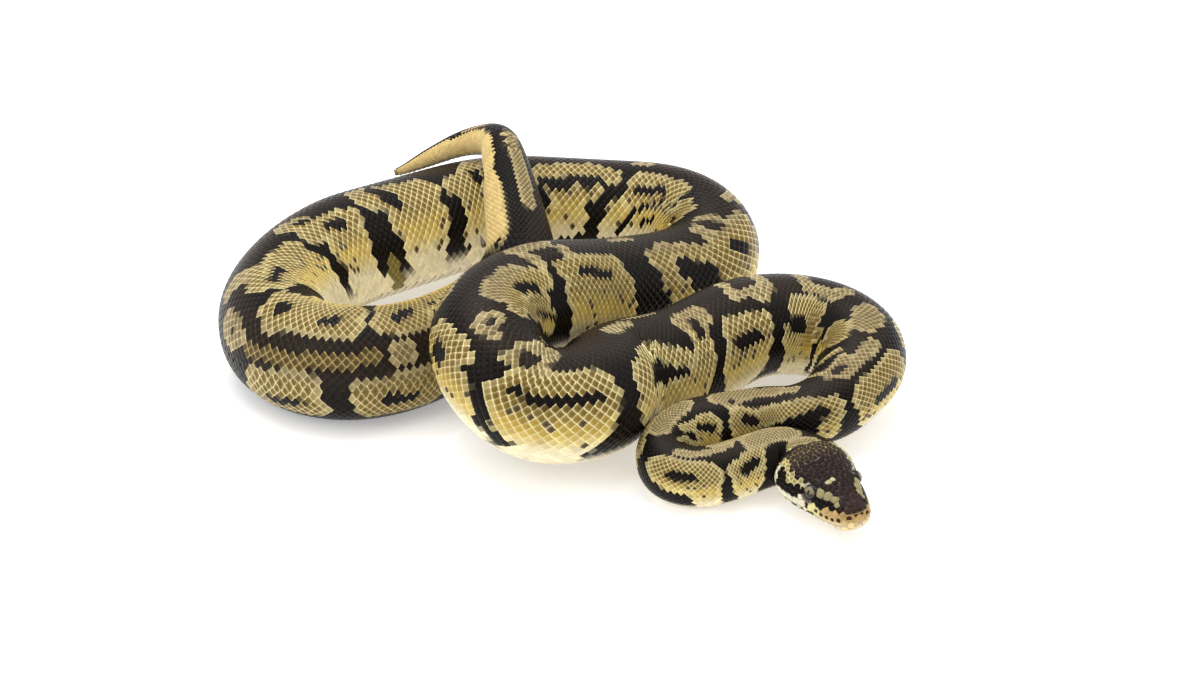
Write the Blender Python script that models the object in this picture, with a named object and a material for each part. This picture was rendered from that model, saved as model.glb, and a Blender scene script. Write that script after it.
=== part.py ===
"""A coiled ball python, life size, as one still model: the solids that a museum model is cast as.

The body is a sweep along one centreline, which runs from the snout to the tip of the tail. The line
turns at named bends, rises at named places and has a girth that swells and tapers. The sweep is then
parted into lengths by thin cuts. Lengths are in millimetres until a mesh is made, which is in metres.
"""
import math

import bmesh
import bpy
import numpy as np
from mathutils import Matrix, Vector

MM = 0.001

# ---------------------------------------------------------------- the centreline
SNOUT = (104.9, -108.0)         # where the snout's tip stands on the floor plan
SNOUT_HEADING = 120.0           # the way from the snout to the tail, in degrees from +X
BODY_LENGTH = 988.0

# name, distance of its middle from the snout, the length that it takes, its turn in degrees
BENDS = (
    ("nape", 42, 21, 80),
    ("neck_hairpin", 90, 50, -184),
    ("near_arm_ease", 139, 15, -50),
    ("near_arm_lead", 152, 49, 94),
    ("right_hairpin", 214, 82, 153),
    ("front_sway", 312, 29, 84),
    ("left_hairpin", 359, 146, -259),
    ("upper_arm_ease", 409, 68, 5),
    ("right_end", 539, 77, 136),
    ("back_ease", 629, 50, 34),
    ("back_turn", 719, 74, 51),
    ("left_end", 779, 104, 140),
    ("front_left_ease", 848, 77, 9),
    ("under_pass", 881, 22, 48),
    ("tail_crest", 950, 36, 95),
)

# distance from the snout, height of the belly over the floor
LIFT = (
    (0, 5), (34, 5), (48, 3.8), (66, 0.5), (90, 0), (112, 6), (135, 4.8), (180, 5), (220, 1.5),
    (257, 5.5), (283, 0), (305, 0), (335, 4.5), (357, 8), (380, 19.5), (405, 22.5), (430, 21.5),
    (455, 13), (485, 5), (510, 0), (530, 0), (555, 3), (635, 4.5), (695, 4), (740, 0), (835, 0),
    (863, 4), (885, 22), (910, 37), (935, 50.5), (960, 45.5), (988, 39.5),
)

# distance from the snout, half of the body's thickness
GIRTH = (
    (0, 9.3), (34, 9.3), (46, 10.2), (60, 10.5), (105, 10.9), (145, 11.3), (185, 15.5), (220, 18.3),
    (265, 19.8), (325, 21.3), (415, 20.5), (495, 19.5), (595, 20.8), (695, 22.3), (755, 21.2), (795, 20.8),
    (845, 17.5), (875, 14.5), (900, 12), (925, 9.3), (955, 5.6), (975, 3.4), (988, 1.3),
)

# distance from the snout, width of the body for each unit of its thickness
BREADTH = ((0, 1.54), (33, 1.54), (36, 1.42), (40, 1.2), (45, 1.08), (52, 1.01), (60, 1))

PATH_STEP = 0.5                 # between the points of the line
SOFTEN_LIFT = 18.0              # how far the corners of these tables are rounded off
SOFTEN_GIRTH = 8.0
SOFTEN_BREADTH = 2.0
SOFTEN_HEAD = 1.5


def profile(table, at, soften):
    """Reads a table of (distance, value) at some distances, with its corners rounded off."""
    places, values = np.array(table, float).T
    window = np.linspace(-1, 1, 15)
    weights = np.cos(window * math.pi / 2) ** 2
    read = sum(w * np.interp(at + soften * o, places, values) for w, o in zip(weights, window))
    return read / weights.sum()


def ease(x):
    x = np.clip(x, 0, 1)
    return x * x * (3 - 2 * x)


def heading(at):
    """The line's compass angle in radians at some distances."""
    angle = np.full(np.shape(at), SNOUT_HEADING, float)
    for _, middle, length, turn in BENDS:
        angle = angle + turn * ease((at - middle) / length + 0.5)
    return np.radians(angle)


def centreline():
    """Distances, points, side and up directions, turn for each millimetre, and girth."""
    s = np.arange(0, BODY_LENGTH + PATH_STEP / 2, PATH_STEP)
    girth = profile(GIRTH, s, SOFTEN_GIRTH)
    height = profile(LIFT, s, SOFTEN_LIFT) + girth
    angle = heading(s)
    rise = np.gradient(height, s)
    level = np.sqrt(1 - np.minimum(rise ** 2, 0.9)) * PATH_STEP
    middle = (angle[1:] + angle[:-1]) / 2
    x = SNOUT[0] + np.r_[0, np.cumsum(np.cos(middle) * level[1:])]
    y = SNOUT[1] + np.r_[0, np.cumsum(np.sin(middle) * level[1:])]
    points = np.stack([x, y, height], 1)
    ahead = np.gradient(points, axis=0)
    ahead /= np.linalg.norm(ahead, axis=1)[:, None]
    left = np.stack([-np.sin(angle), np.cos(angle), 0 * angle], 1)
    up = np.cross(ahead, left)
    return s, points, left, up, np.gradient(angle, s), girth


LINE = centreline()

# ---------------------------------------------------------------- the trunk's section
SIDES = 22
BELLY_SQUARE = 0.84             # under 1, so that a belly on the floor has fuller corners than a circle
PRESSED_TO = 5.0                # the floor presses the belly flat, and not at all at this height over it
SINK = 0.9                      # how far the belly would reach into the floor before it is flattened
FOLD = 0.88                     # the inside of a tight bend is held this share of its radius from the line
SNUG = 0.985                    # the solids stand clear of each other by this much


def ring(at):
    """The section at one distance from the snout, as points round it, counted from the back's ridge."""
    s, points, left, up, turn, girth = LINE
    here = [np.interp(at, s, points[:, i]) for i in range(3)]
    side = np.array([np.interp(at, s, left[:, i]) for i in range(3)])
    top = np.array([np.interp(at, s, up[:, i]) for i in range(3)])
    bend = np.interp(at, s, turn)
    radius = np.interp(at, s, girth)
    wide = radius * SNUG * profile(BREADTH, at, SOFTEN_BREADTH)
    around = np.arange(SIDES) * 2 * math.pi / SIDES
    sideways = np.sin(around)
    pressed = np.clip(1 - (here[2] - radius) / PRESSED_TO, 0, 1)
    upward = np.cos(around)
    belly = upward < 0
    upward[belly] = -np.abs(upward[belly]) ** (1 - (1 - BELLY_SQUARE) * pressed)
    inner = min(FOLD / max(abs(bend), 1e-6), wide)
    reach = np.where(sideways * bend > 0, inner, wide)
    section = np.array(here) + np.outer(sideways * reach, side) + np.outer(upward * radius, top)
    section[:, 2] = np.maximum(section[:, 2] - SINK * pressed * (1 - upward) / 2, 0)
    return section


# ---------------------------------------------------------------- the head's section
HEAD_END = 32.0
HEAD_FLOOR = 4.5                # the chin's height over the floor
HEAD_NOD = 0.04                 # how much the head rises towards the neck
HEAD_SIDES = 26
SNOUT_RINGS = (0, 0.5, 1.3, 2.5, 4.2, 6.5)   # the head's first rings, closer together at the tip
LATER_RINGS_FROM = 9.0
LATER_RINGS = 14

# distance from the snout's tip, half width
HEAD_WIDTH = (
    (0, 1.6), (0.5, 3.7), (1.5, 5.3), (3, 6.7), (6, 8.1), (10, 9.5), (15, 10.8), (20, 12.5), (24, 13.9),
    (28, 14.9), (31, 14.7), (32, 14.4),
)
# distance from the snout's tip, height of the crown over the chin
HEAD_TOP = (
    (0, 6.4), (0.5, 7.8), (1.5, 9.2), (3, 10.3), (6, 11.3), (10, 12.5), (15, 14.0), (20, 15.3), (26, 16.8),
    (32, 17.85),
)
# distance from the snout's tip, height of the chin's underside
HEAD_BOTTOM = (
    (0, 3.7), (0.5, 2.5), (1.5, 1.2), (3, 0.3), (6, -0.5), (10, -0.9), (22, -1.0), (28, -1.0), (32, -0.75),
)
HEAD_WAIST = 0.46               # where the head is widest, as a share of its depth
# distance from the snout's tip, squareness of the section: 2 is an ellipse
CROWN_BOXY = ((0, 2.1), (6, 2.5), (22, 2.4), (32, 2.05))
JAW_BOXY = ((0, 2.1), (6, 2.7), (16, 3.1), (26, 3.0), (32, 2.05))
# distance from the snout's tip, height of the line between the lips
MOUTH = ((-2, 4.3), (0, 4.3), (3, 3.7), (8, 3.1), (14, 2.9), (20, 2.7), (25, 2.8), (28, 3.4))
MOUTH_GAP = 0.3
WEDGE_DEPTH = 5.0               # how far the mouth's cutter reaches under the chin, and to each side
WEDGE_SIDE = 20.0
JAW_END = 28.0

EYE_ALONG = 17.0
EYE_OUT = 8.8
EYE_HIGH = 10.8
EYE_RADIUS = 2.75
EYE_SEGMENTS = 16
EYE_RINGS = 10
SOCKET_GAP = 0.3


def head_frame():
    """The head's own frame: +X back along the head, +Y to its right, +Z up, from the snout's tip."""
    turned = Matrix.Rotation(math.radians(SNOUT_HEADING), 4, "Z")
    return Matrix.Translation(Vector((*SNOUT, HEAD_FLOOR)) * MM) @ turned


def head_ring(along):
    """The head's section at one distance from the snout's tip, in the head's own frame."""
    soften = min(SOFTEN_HEAD, along)
    wide = profile(HEAD_WIDTH, along, soften)
    top = profile(HEAD_TOP, along, soften)
    low = profile(HEAD_BOTTOM, along, soften)
    waist = low + (top - low) * HEAD_WAIST
    around = np.arange(HEAD_SIDES) * 2 * math.pi / HEAD_SIDES
    crown = np.cos(around) > 0
    power = 2 / np.where(crown, profile(CROWN_BOXY, along, soften), profile(JAW_BOXY, along, soften))
    sideways = np.sign(np.sin(around)) * np.abs(np.sin(around)) ** power * wide
    upward = np.sign(np.cos(around)) * np.abs(np.cos(around)) ** power
    height = waist + np.where(upward > 0, upward * (top - waist), upward * (waist - low))
    return np.stack([np.full(HEAD_SIDES, along), sideways, height + HEAD_NOD * along], 1)


SPUR_AT = 892.0
SPUR_MIDDLE = 145.0             # the belly's middle, in degrees from the back's ridge towards the left
SPUR_SPREAD = 30.0              # each spur's angle from that middle
SPUR_CLEAR = 0.4                # room between the spur's root and the body
SPUR_LEAN = math.radians(14)
SPUR_RADIUS = 1.0
SPUR_TIP = 0.2
SPUR_LENGTH = 5.0
SPUR_SIDES = 10


# ---------------------------------------------------------------- making meshes
def clear_scene():
    for thing in list(bpy.data.objects):
        bpy.data.objects.remove(thing, do_unlink=True)


def collection(name):
    made = bpy.data.collections.new(name)
    bpy.context.scene.collection.children.link(made)
    return made


def material(name, color, roughness):
    made = bpy.data.materials.new(name)
    made.use_nodes = True
    shader = made.node_tree.nodes["Principled BSDF"]
    shader.inputs["Base Color"].default_value = (*color, 1)
    shader.inputs["Roughness"].default_value = roughness
    return made


def loft(rings):
    """A closed mesh through a row of rings that have the same number of points."""
    shell = bmesh.new()
    rows = [[shell.verts.new(Vector(point) * MM) for point in section] for section in rings]
    count = len(rows[0])
    for near, far in zip(rows, rows[1:]):
        for i in range(count):
            j = (i + 1) % count
            shell.faces.new((near[i], near[j], far[j], far[i]))
    for row in (rows[0], rows[-1]):
        centre = shell.verts.new(sum((v.co for v in row), Vector()) / count)
        for i in range(count):
            shell.faces.new((row[i], row[(i + 1) % count], centre))
    bmesh.ops.recalc_face_normals(shell, faces=shell.faces)
    return shell


def add_object(name, shell, look, group):
    mesh = bpy.data.meshes.new(name)
    shell.to_mesh(mesh)
    shell.free()
    if look:
        mesh.materials.append(look)
    thing = bpy.data.objects.new(name, mesh)
    group.objects.link(thing)
    return thing


def cut(target, cutter, operation="DIFFERENCE"):
    change = target.modifiers.new(operation.title(), "BOOLEAN")
    change.operation = operation
    change.object = cutter
    cutter.hide_render = True
    cutter.display_type = "WIRE"


# ---------------------------------------------------------------- the nodes
CUT_GAP = 0.3                   # the width of the thin cut between two lengths
RING_LENGTH = 8.5
RING_TURN = math.radians(12)
TURN_SHARE = 1.2                # how strongly the rings crowd towards the bends

# The name of each length and where it ends, in distance from the snout.
LENGTHS = (
    ("neck_1", 68), ("neck_2", 90), ("neck_3", 118),
    ("trunk_01", 162), ("trunk_02", 214), ("trunk_03", 258), ("trunk_04", 314), ("trunk_05", 344),
    ("trunk_06", 376), ("trunk_07", 420), ("trunk_08", 490), ("trunk_09", 538), ("trunk_10", 594),
    ("trunk_11", 662), ("trunk_12", 734), ("trunk_13", 782), ("trunk_14", 830), ("trunk_15", 900),
    ("tail_1", 948), ("tail_2", BODY_LENGTH),
)


def stations(start, end):
    """Where the rings of one length stand: closer together where the line turns."""
    s, turn = LINE[0], LINE[4]
    inside = (s > start) & (s < end)
    turned = np.abs(turn[inside]).sum() * PATH_STEP
    count = max(2, math.ceil((end - start) / RING_LENGTH), math.ceil(turned / RING_TURN))
    fine = np.linspace(start, end, 400)
    need = 1 / RING_LENGTH + TURN_SHARE * np.abs(np.interp(fine, s, turn)) / RING_TURN
    total = np.r_[0, np.cumsum((need[1:] + need[:-1]) / 2)]
    return np.interp(np.linspace(0, total[-1], count + 1), total, fine)


def make_body(look, group):
    start = HEAD_END
    for name, end in LENGTHS:
        places = stations(start + CUT_GAP, end)
        add_object(name, loft([ring(at) for at in places]), look, group)
        start = end


def head_loft():
    places = np.r_[SNOUT_RINGS, np.linspace(LATER_RINGS_FROM, HEAD_END, LATER_RINGS)]
    return loft([head_ring(at) for at in places])


def mouth_wedge(raise_by, back, group):
    """All that lies under the mouth's line, as far back as the jaw's corner."""
    line = [(along, high + raise_by) for along, high in MOUTH if along < back]
    line.append((back, MOUTH[-1][1] + raise_by))
    outline = line + [(back, -WEDGE_DEPTH), (MOUTH[0][0], -WEDGE_DEPTH)]
    wedge = bmesh.new()
    corners = [wedge.verts.new(Vector((along, -WEDGE_SIDE, high)) * MM) for along, high in outline]
    flat = wedge.faces.new(corners)
    pushed = bmesh.ops.extrude_face_region(wedge, geom=[flat])
    moved = [v for v in pushed["geom"] if isinstance(v, bmesh.types.BMVert)]
    bmesh.ops.translate(wedge, verts=moved, vec=Vector((0, 2 * WEDGE_SIDE, 0)) * MM)
    bmesh.ops.recalc_face_normals(wedge, faces=wedge.faces)
    return add_object("mouth_cutter", wedge, None, group)


def ball(name, radius, centre, look, group):
    shell = bmesh.new()
    bmesh.ops.create_uvsphere(shell, u_segments=EYE_SEGMENTS, v_segments=EYE_RINGS, radius=radius * MM)
    thing = add_object(name, shell, look, group)
    thing.location = Vector(centre) * MM
    return thing


def make_head(look, eye_look, group, cutters):
    frame = bpy.data.objects.new("head_frame", None)
    group.objects.link(frame)
    frame.matrix_world = head_frame()
    head = add_object("head", head_loft(), look, group)
    jaw = add_object("lower_jaw", head_loft(), look, group)
    above = mouth_wedge(MOUTH_GAP / 2, JAW_END, cutters)
    below = mouth_wedge(-MOUTH_GAP / 2, JAW_END - MOUTH_GAP, cutters)
    cut(head, above)
    cut(jaw, below, "INTERSECT")
    pieces = [head, jaw, above, below]
    for side, name in ((1, "eye_right"), (-1, "eye_left")):
        centre = (EYE_ALONG, side * EYE_OUT, EYE_HIGH)
        socket = ball(name + "_socket", EYE_RADIUS + SOCKET_GAP, centre, look, cutters)
        cut(head, socket)
        pieces += [ball(name, EYE_RADIUS, centre, eye_look, group), socket]
    for piece in pieces:
        piece.parent = frame


def surface_point(at, angle):
    """A point on the body and the way out of it there, at an angle round from the back's ridge."""
    s, points, left, up, _, girth = LINE
    here, side, top = (
        np.array([np.interp(at, s, row[:, i]) for i in range(3)]) for row in (points, left, up)
    )
    out = math.sin(angle) * side + math.cos(angle) * top
    return here + out * np.interp(at, s, girth), out


def make_spurs(look, group):
    """The two small claws beside the vent, laid back along the body."""
    angles = {"spur_right": SPUR_MIDDLE - SPUR_SPREAD, "spur_left": SPUR_MIDDLE + SPUR_SPREAD}
    for name, angle in angles.items():
        place, out = surface_point(SPUR_AT, math.radians(angle))
        further, _ = surface_point(SPUR_AT + 2, math.radians(angle))
        back = (further - place) / np.linalg.norm(further - place)
        lean = math.cos(SPUR_LEAN) * back + math.sin(SPUR_LEAN) * out
        shell = bmesh.new()
        bmesh.ops.create_cone(
            shell, cap_ends=True, segments=SPUR_SIDES, radius1=SPUR_RADIUS * MM, radius2=SPUR_TIP * MM,
            depth=SPUR_LENGTH * MM,
        )
        spur = add_object(name, shell, look, group)
        centre = place + out * (SPUR_RADIUS + SPUR_CLEAR) + lean * SPUR_LENGTH / 2
        spur.location = Vector(centre) * MM
        spur.rotation_euler = Vector(lean).to_track_quat("Z", "Y").to_euler()


def main():
    clear_scene()
    group = collection("ball_python")
    cutters = collection("cutters")
    skin = material("skin", (0.10, 0.07, 0.04), 0.5)
    eye = material("eye", (0.02, 0.02, 0.015), 0.1)
    make_head(skin, eye, group, cutters)
    make_body(skin, group)
    make_spurs(material("claw", (0.05, 0.04, 0.03), 0.35), group)


main()
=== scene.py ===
"""A coiled ball python, dressed: one skin, its scales and head plates, the eyes and the claws.

The body's line and girth are those that its solids were made from, so skin and scales lie in them. A place
on the body is told by its distance from the snout in millimetres and by its angle round from the ridge, in
degrees, growing towards the left of the way from head to tail. A place on the head is told in the head's
own frame: distance from the tip, distance to the left, height. Shapes stay in millimetres up to their mesh.
"""
import math

import bpy
import numpy as np
from mathutils import Matrix, Vector
from mathutils.bvhtree import BVHTree


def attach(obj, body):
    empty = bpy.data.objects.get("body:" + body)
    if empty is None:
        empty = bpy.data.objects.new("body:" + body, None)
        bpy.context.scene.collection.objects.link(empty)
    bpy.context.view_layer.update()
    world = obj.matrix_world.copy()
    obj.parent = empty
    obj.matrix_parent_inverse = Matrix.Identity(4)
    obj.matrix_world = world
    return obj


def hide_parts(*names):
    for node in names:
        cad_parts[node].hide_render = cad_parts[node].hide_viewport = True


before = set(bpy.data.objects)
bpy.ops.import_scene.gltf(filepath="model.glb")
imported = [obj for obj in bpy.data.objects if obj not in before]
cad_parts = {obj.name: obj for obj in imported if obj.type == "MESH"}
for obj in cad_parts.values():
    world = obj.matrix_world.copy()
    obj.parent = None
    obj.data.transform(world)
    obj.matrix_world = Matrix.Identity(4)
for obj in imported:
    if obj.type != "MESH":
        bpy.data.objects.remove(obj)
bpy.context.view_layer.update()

MM = 0.001
RANDOM = np.random.default_rng(7)

# -------- the body's line
SNOUT = (104.9, -108.0)
SNOUT_HEADING = 120.0
BODY_LENGTH = 988.0

# name, distance of its middle from the snout, the length that it takes, its turn in degrees
BENDS = (
    ("nape", 42, 21, 80),
    ("neck_hairpin", 90, 50, -184),
    ("near_arm_ease", 139, 15, -50),
    ("near_arm_lead", 152, 49, 94),
    ("right_hairpin", 214, 82, 153),
    ("front_sway", 312, 29, 84),
    ("left_hairpin", 359, 146, -259),
    ("upper_arm_ease", 409, 68, 5),
    ("right_end", 539, 77, 136),
    ("back_ease", 629, 50, 34),
    ("back_turn", 719, 74, 51),
    ("left_end", 779, 104, 140),
    ("front_left_ease", 848, 77, 9),
    ("under_pass", 881, 22, 48),
    ("tail_crest", 950, 36, 95),
)

# distance from the snout, height of the belly over the floor
LIFT = (
    (0, 5), (34, 5), (48, 3.8), (66, 0.5), (90, 0), (112, 6), (135, 4.8), (180, 5), (220, 1.5), (257, 5.5),
    (283, 0), (305, 0), (335, 4.5), (357, 8), (380, 19.5), (405, 22.5), (430, 21.5), (455, 13), (485, 5),
    (510, 0), (530, 0), (555, 3), (635, 4.5), (695, 4), (740, 0), (835, 0), (863, 4), (885, 22), (910, 37),
    (935, 50.5), (960, 45.5), (988, 39.5),
)

# distance from the snout, half of the body's thickness
GIRTH = (
    (0, 9.3), (34, 9.3), (46, 10.2), (60, 10.5), (105, 10.9), (145, 11.3), (185, 15.5), (220, 18.3),
    (265, 19.8), (325, 21.3), (415, 20.5), (495, 19.5), (595, 20.8), (695, 22.3), (755, 21.2), (795, 20.8),
    (845, 17.5), (875, 14.5), (900, 12), (925, 9.3), (955, 5.6), (975, 3.4), (988, 1.3),
)

# distance from the snout, width of the body for each unit of its thickness
BREADTH = ((0, 1.54), (33, 1.54), (36, 1.42), (40, 1.2), (45, 1.08), (52, 1.01), (60, 1))

PATH_STEP = 0.5  # between the points of the line
SOFTEN_SAMPLES = 15  # readings that are averaged to round off a table's corners
SOFTEN_LIFT = 18.0  # how far the corners of these tables are rounded off
SOFTEN_GIRTH = 8.0
SOFTEN_BREADTH = 2.0
SOFTEN_HEAD = 1.5
STEEPEST = 0.9  # the most that the square of the line's rise may take of a step
BELLY_SQUARE = 0.84  # under 1, so that a belly on the floor has fuller corners than a circle
PRESSED_TO = 5.0  # the floor presses the belly flat, and not at all at this height over it
SINK = 0.9  # how far the belly would reach into the floor before it is flattened
FOLD = 0.88  # the inside of a tight bend is held this share of its radius from the line
SNUG = 0.985  # the coils stand clear of each other by this much
PROBE = 0.4  # how far to each side the ways along and across are measured
PROBE_ANGLE = 1.0


def read(table, at):
    """Reads a table of (distance, value) at some distances."""
    return np.interp(at, *np.array(table, float).T)


def profile(table, at, soften):
    """Reads a table with its corners rounded off."""
    window = np.linspace(-1, 1, SOFTEN_SAMPLES)
    weights = np.cos(window * math.pi / 2) ** 2
    total = sum(w * read(table, at + soften * o) for w, o in zip(weights, window))
    return total / weights.sum()


def ease(x):
    x = np.clip(x, 0, 1)
    return x * x * (3 - 2 * x)


def passed(value, ends):
    """How far a value has come from the first end, as a share of the way to the second."""
    return (value - ends[0]) / (ends[1] - ends[0])


def fade(value, ends):
    """The same share, held between 0 and 1, with a soft start and stop."""
    return ease(passed(value, ends))


def heading(at):
    """The line's compass angle in radians at some distances."""
    angle = np.full(np.shape(at), SNOUT_HEADING, float)
    for _, middle, length, turn in BENDS:
        angle = angle + turn * ease((at - middle) / length + 0.5)
    return np.radians(angle)


def centreline():
    """Distances, points, side and up directions, turn for each millimetre, and girth."""
    s = np.arange(0, BODY_LENGTH + PATH_STEP / 2, PATH_STEP)
    girth = profile(GIRTH, s, SOFTEN_GIRTH)
    height = profile(LIFT, s, SOFTEN_LIFT) + girth
    angle = heading(s)
    rise = np.gradient(height, s)
    level = np.sqrt(1 - np.minimum(rise ** 2, STEEPEST)) * PATH_STEP
    middle = (angle[1:] + angle[:-1]) / 2
    x = SNOUT[0] + np.r_[0, np.cumsum(np.cos(middle) * level[1:])]
    y = SNOUT[1] + np.r_[0, np.cumsum(np.sin(middle) * level[1:])]
    points = np.stack([x, y, height], 1)
    ahead = np.gradient(points, axis=0)
    ahead /= np.linalg.norm(ahead, axis=1)[:, None]
    left = np.stack([-np.sin(angle), np.cos(angle), 0 * angle], 1)
    return s, points, left, np.cross(ahead, left), np.gradient(angle, s), girth


LINE_AT, LINE_POINTS, LINE_LEFT, LINE_UP, LINE_TURN, LINE_GIRTH = centreline()


def read_line(at, rows):
    return np.stack([np.interp(at, LINE_AT, rows[:, i]) for i in range(3)], -1)


def girth_at(at):
    return np.interp(at, LINE_AT, LINE_GIRTH)


def matched(at, angle):
    """Distances and angles as arrays of one shape, the angles in radians."""
    return np.broadcast_arrays(np.asarray(at, float), np.radians(np.asarray(angle, float)))


def flesh(at, angle, depth):
    """Places on the body at distances from the snout and angles from the ridge, sunk by a depth."""
    at, angle = matched(at, angle)
    here = read_line(at, LINE_POINTS)
    bend = np.interp(at, LINE_AT, LINE_TURN)
    radius = girth_at(at)
    wide = radius * SNUG * profile(BREADTH, at, SOFTEN_BREADTH)
    pressed = np.clip(1 - (here[..., 2] - radius) / PRESSED_TO, 0, 1)
    sideways = np.sin(angle)
    upward = np.cos(angle)
    upward = np.where(upward < 0, -np.abs(upward) ** (1 - (1 - BELLY_SQUARE) * pressed), upward)
    inner = np.minimum(FOLD / np.maximum(np.abs(bend), 1e-6), wide)
    reach = np.where(sideways * bend > 0, inner, wide) - depth
    place = here + (sideways * reach)[..., None] * read_line(at, LINE_LEFT)
    place += (upward * (radius - depth))[..., None] * read_line(at, LINE_UP)
    place[..., 2] = np.maximum(place[..., 2] - SINK * pressed * (1 - upward) / 2, depth)
    return place


def unit(vectors):
    return vectors / np.maximum(np.linalg.norm(vectors, axis=-1), 1e-9)[..., None]


# -------- the head's form
HEAD_FLOOR = 4.5  # the chin's height over the floor
HEAD_NOD = 0.04  # how much the head rises towards the neck
HEAD_WIDTH = (
    (0, 1.6), (0.5, 3.7), (1.5, 5.3), (3, 6.7), (6, 8.1), (10, 9.5), (15, 10.8), (20, 12.5), (24, 13.9),
    (28, 14.9), (31, 14.7), (32, 14.4),
)
HEAD_TOP = (
    (0, 6.4), (0.5, 7.8), (1.5, 9.2), (3, 10.3), (6, 11.3), (10, 12.5), (15, 14.0), (20, 15.3), (26, 16.8),
    (32, 17.85),
)
HEAD_BOTTOM = (
    (0, 3.7), (0.5, 2.5), (1.5, 1.2), (3, 0.3), (6, -0.5), (10, -0.9), (22, -1.0), (28, -1.0), (32, -0.75),
)
HEAD_WAIST = 0.46  # where the head is widest, as a share of its depth
CROWN_BOXY = ((0, 2.1), (6, 2.5), (22, 2.4), (32, 2.05))
JAW_BOXY = ((0, 2.1), (6, 2.7), (16, 3.1), (26, 3.0), (32, 2.05))
MOUTH = ((-2, 4.3), (0, 4.3), (3, 3.7), (8, 3.1), (14, 2.9), (20, 2.7), (25, 2.8), (28, 3.4))
EYE_ALONG = 17.0
EYE_OUT = 8.8
EYE_HIGH = 10.8
EYE_RADIUS = 2.75
NECK_JOIN = (31.0, 34.0)  # over this stretch the head's form becomes the neck's

HEAD_TURN = Matrix.Rotation(math.radians(SNOUT_HEADING), 4, "Z")
HEAD_FRAME = Matrix.Translation(Vector((*SNOUT, HEAD_FLOOR))) @ HEAD_TURN


def head_sizes(along):
    """Half width, crown's height, chin's height, and the two squarenesses, at distances from the tip."""
    tables = (HEAD_WIDTH, HEAD_TOP, HEAD_BOTTOM, CROWN_BOXY, JAW_BOXY)
    return [profile(table, along, np.clip(along, 0, SOFTEN_HEAD)) for table in tables]


def boxy(value, power):
    return np.sign(value) * np.abs(value) ** power


def head_point(along, angle, depth):
    """Places on the head, told like those on the body, in the head's own frame."""
    along, angle = matched(along, angle)
    wide, top, low, crown_boxy, jaw_boxy = head_sizes(along)
    waist = low + (top - low) * HEAD_WAIST
    power = 2 / np.where(np.cos(angle) > 0, crown_boxy, jaw_boxy)
    upward = boxy(np.cos(angle), power)
    reach = np.where(upward > 0, top - waist, waist - low) - depth
    height = waist + upward * reach + HEAD_NOD * along
    return np.stack([along + depth * np.exp(-along), boxy(np.sin(angle), power) * (wide - depth), height], -1)


def mouth_line(along):
    """The height of the parting of the lips."""
    return read(MOUTH, along) + HEAD_NOD * along


def eye_centre(side):
    return np.array((EYE_ALONG, side * EYE_OUT, EYE_HIGH))


def moved(places, matrix):
    turn = np.array(matrix)
    return places @ turn[:3, :3].T + turn[:3, 3]


def surface(at, angle, depth):
    """Places anywhere on the snake, from the snout's tip to the tail's."""
    share = fade(at, NECK_JOIN)[..., None]
    head = moved(head_point(np.minimum(at, NECK_JOIN[1]), angle, depth), HEAD_FRAME)
    return head * (1 - share) + flesh(at, angle, depth) * share


def surface_frame(at, angle, depth):
    """The place, the ways along and out, the stretch along, and millimetres for each degree across."""
    along = surface(at + PROBE, angle, depth) - surface(at - PROBE, angle, depth)
    across = surface(at, angle + PROBE_ANGLE, depth) - surface(at, angle - PROBE_ANGLE, depth)
    out = unit(np.cross(along, across))
    stretch = np.linalg.norm(along, axis=-1) / (2 * PROBE)
    per_degree = np.linalg.norm(across, axis=-1) / (2 * PROBE_ANGLE)
    return surface(at, angle, depth), unit(along), out, stretch, per_degree


# -------- the markings
# distance from the snout, angle of the back's own midline from the ridge: how far the body has rolled
MIDLINE = (
    (0, 0), (60, 4), (110, 3), (160, -8), (200, -8), (240, 3), (330, 0), (430, 2), (520, -6), (560, -24),
    (700, -26), (740, -45), (765, -60), (830, -60), (880, -36), (988, -33),
)

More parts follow.
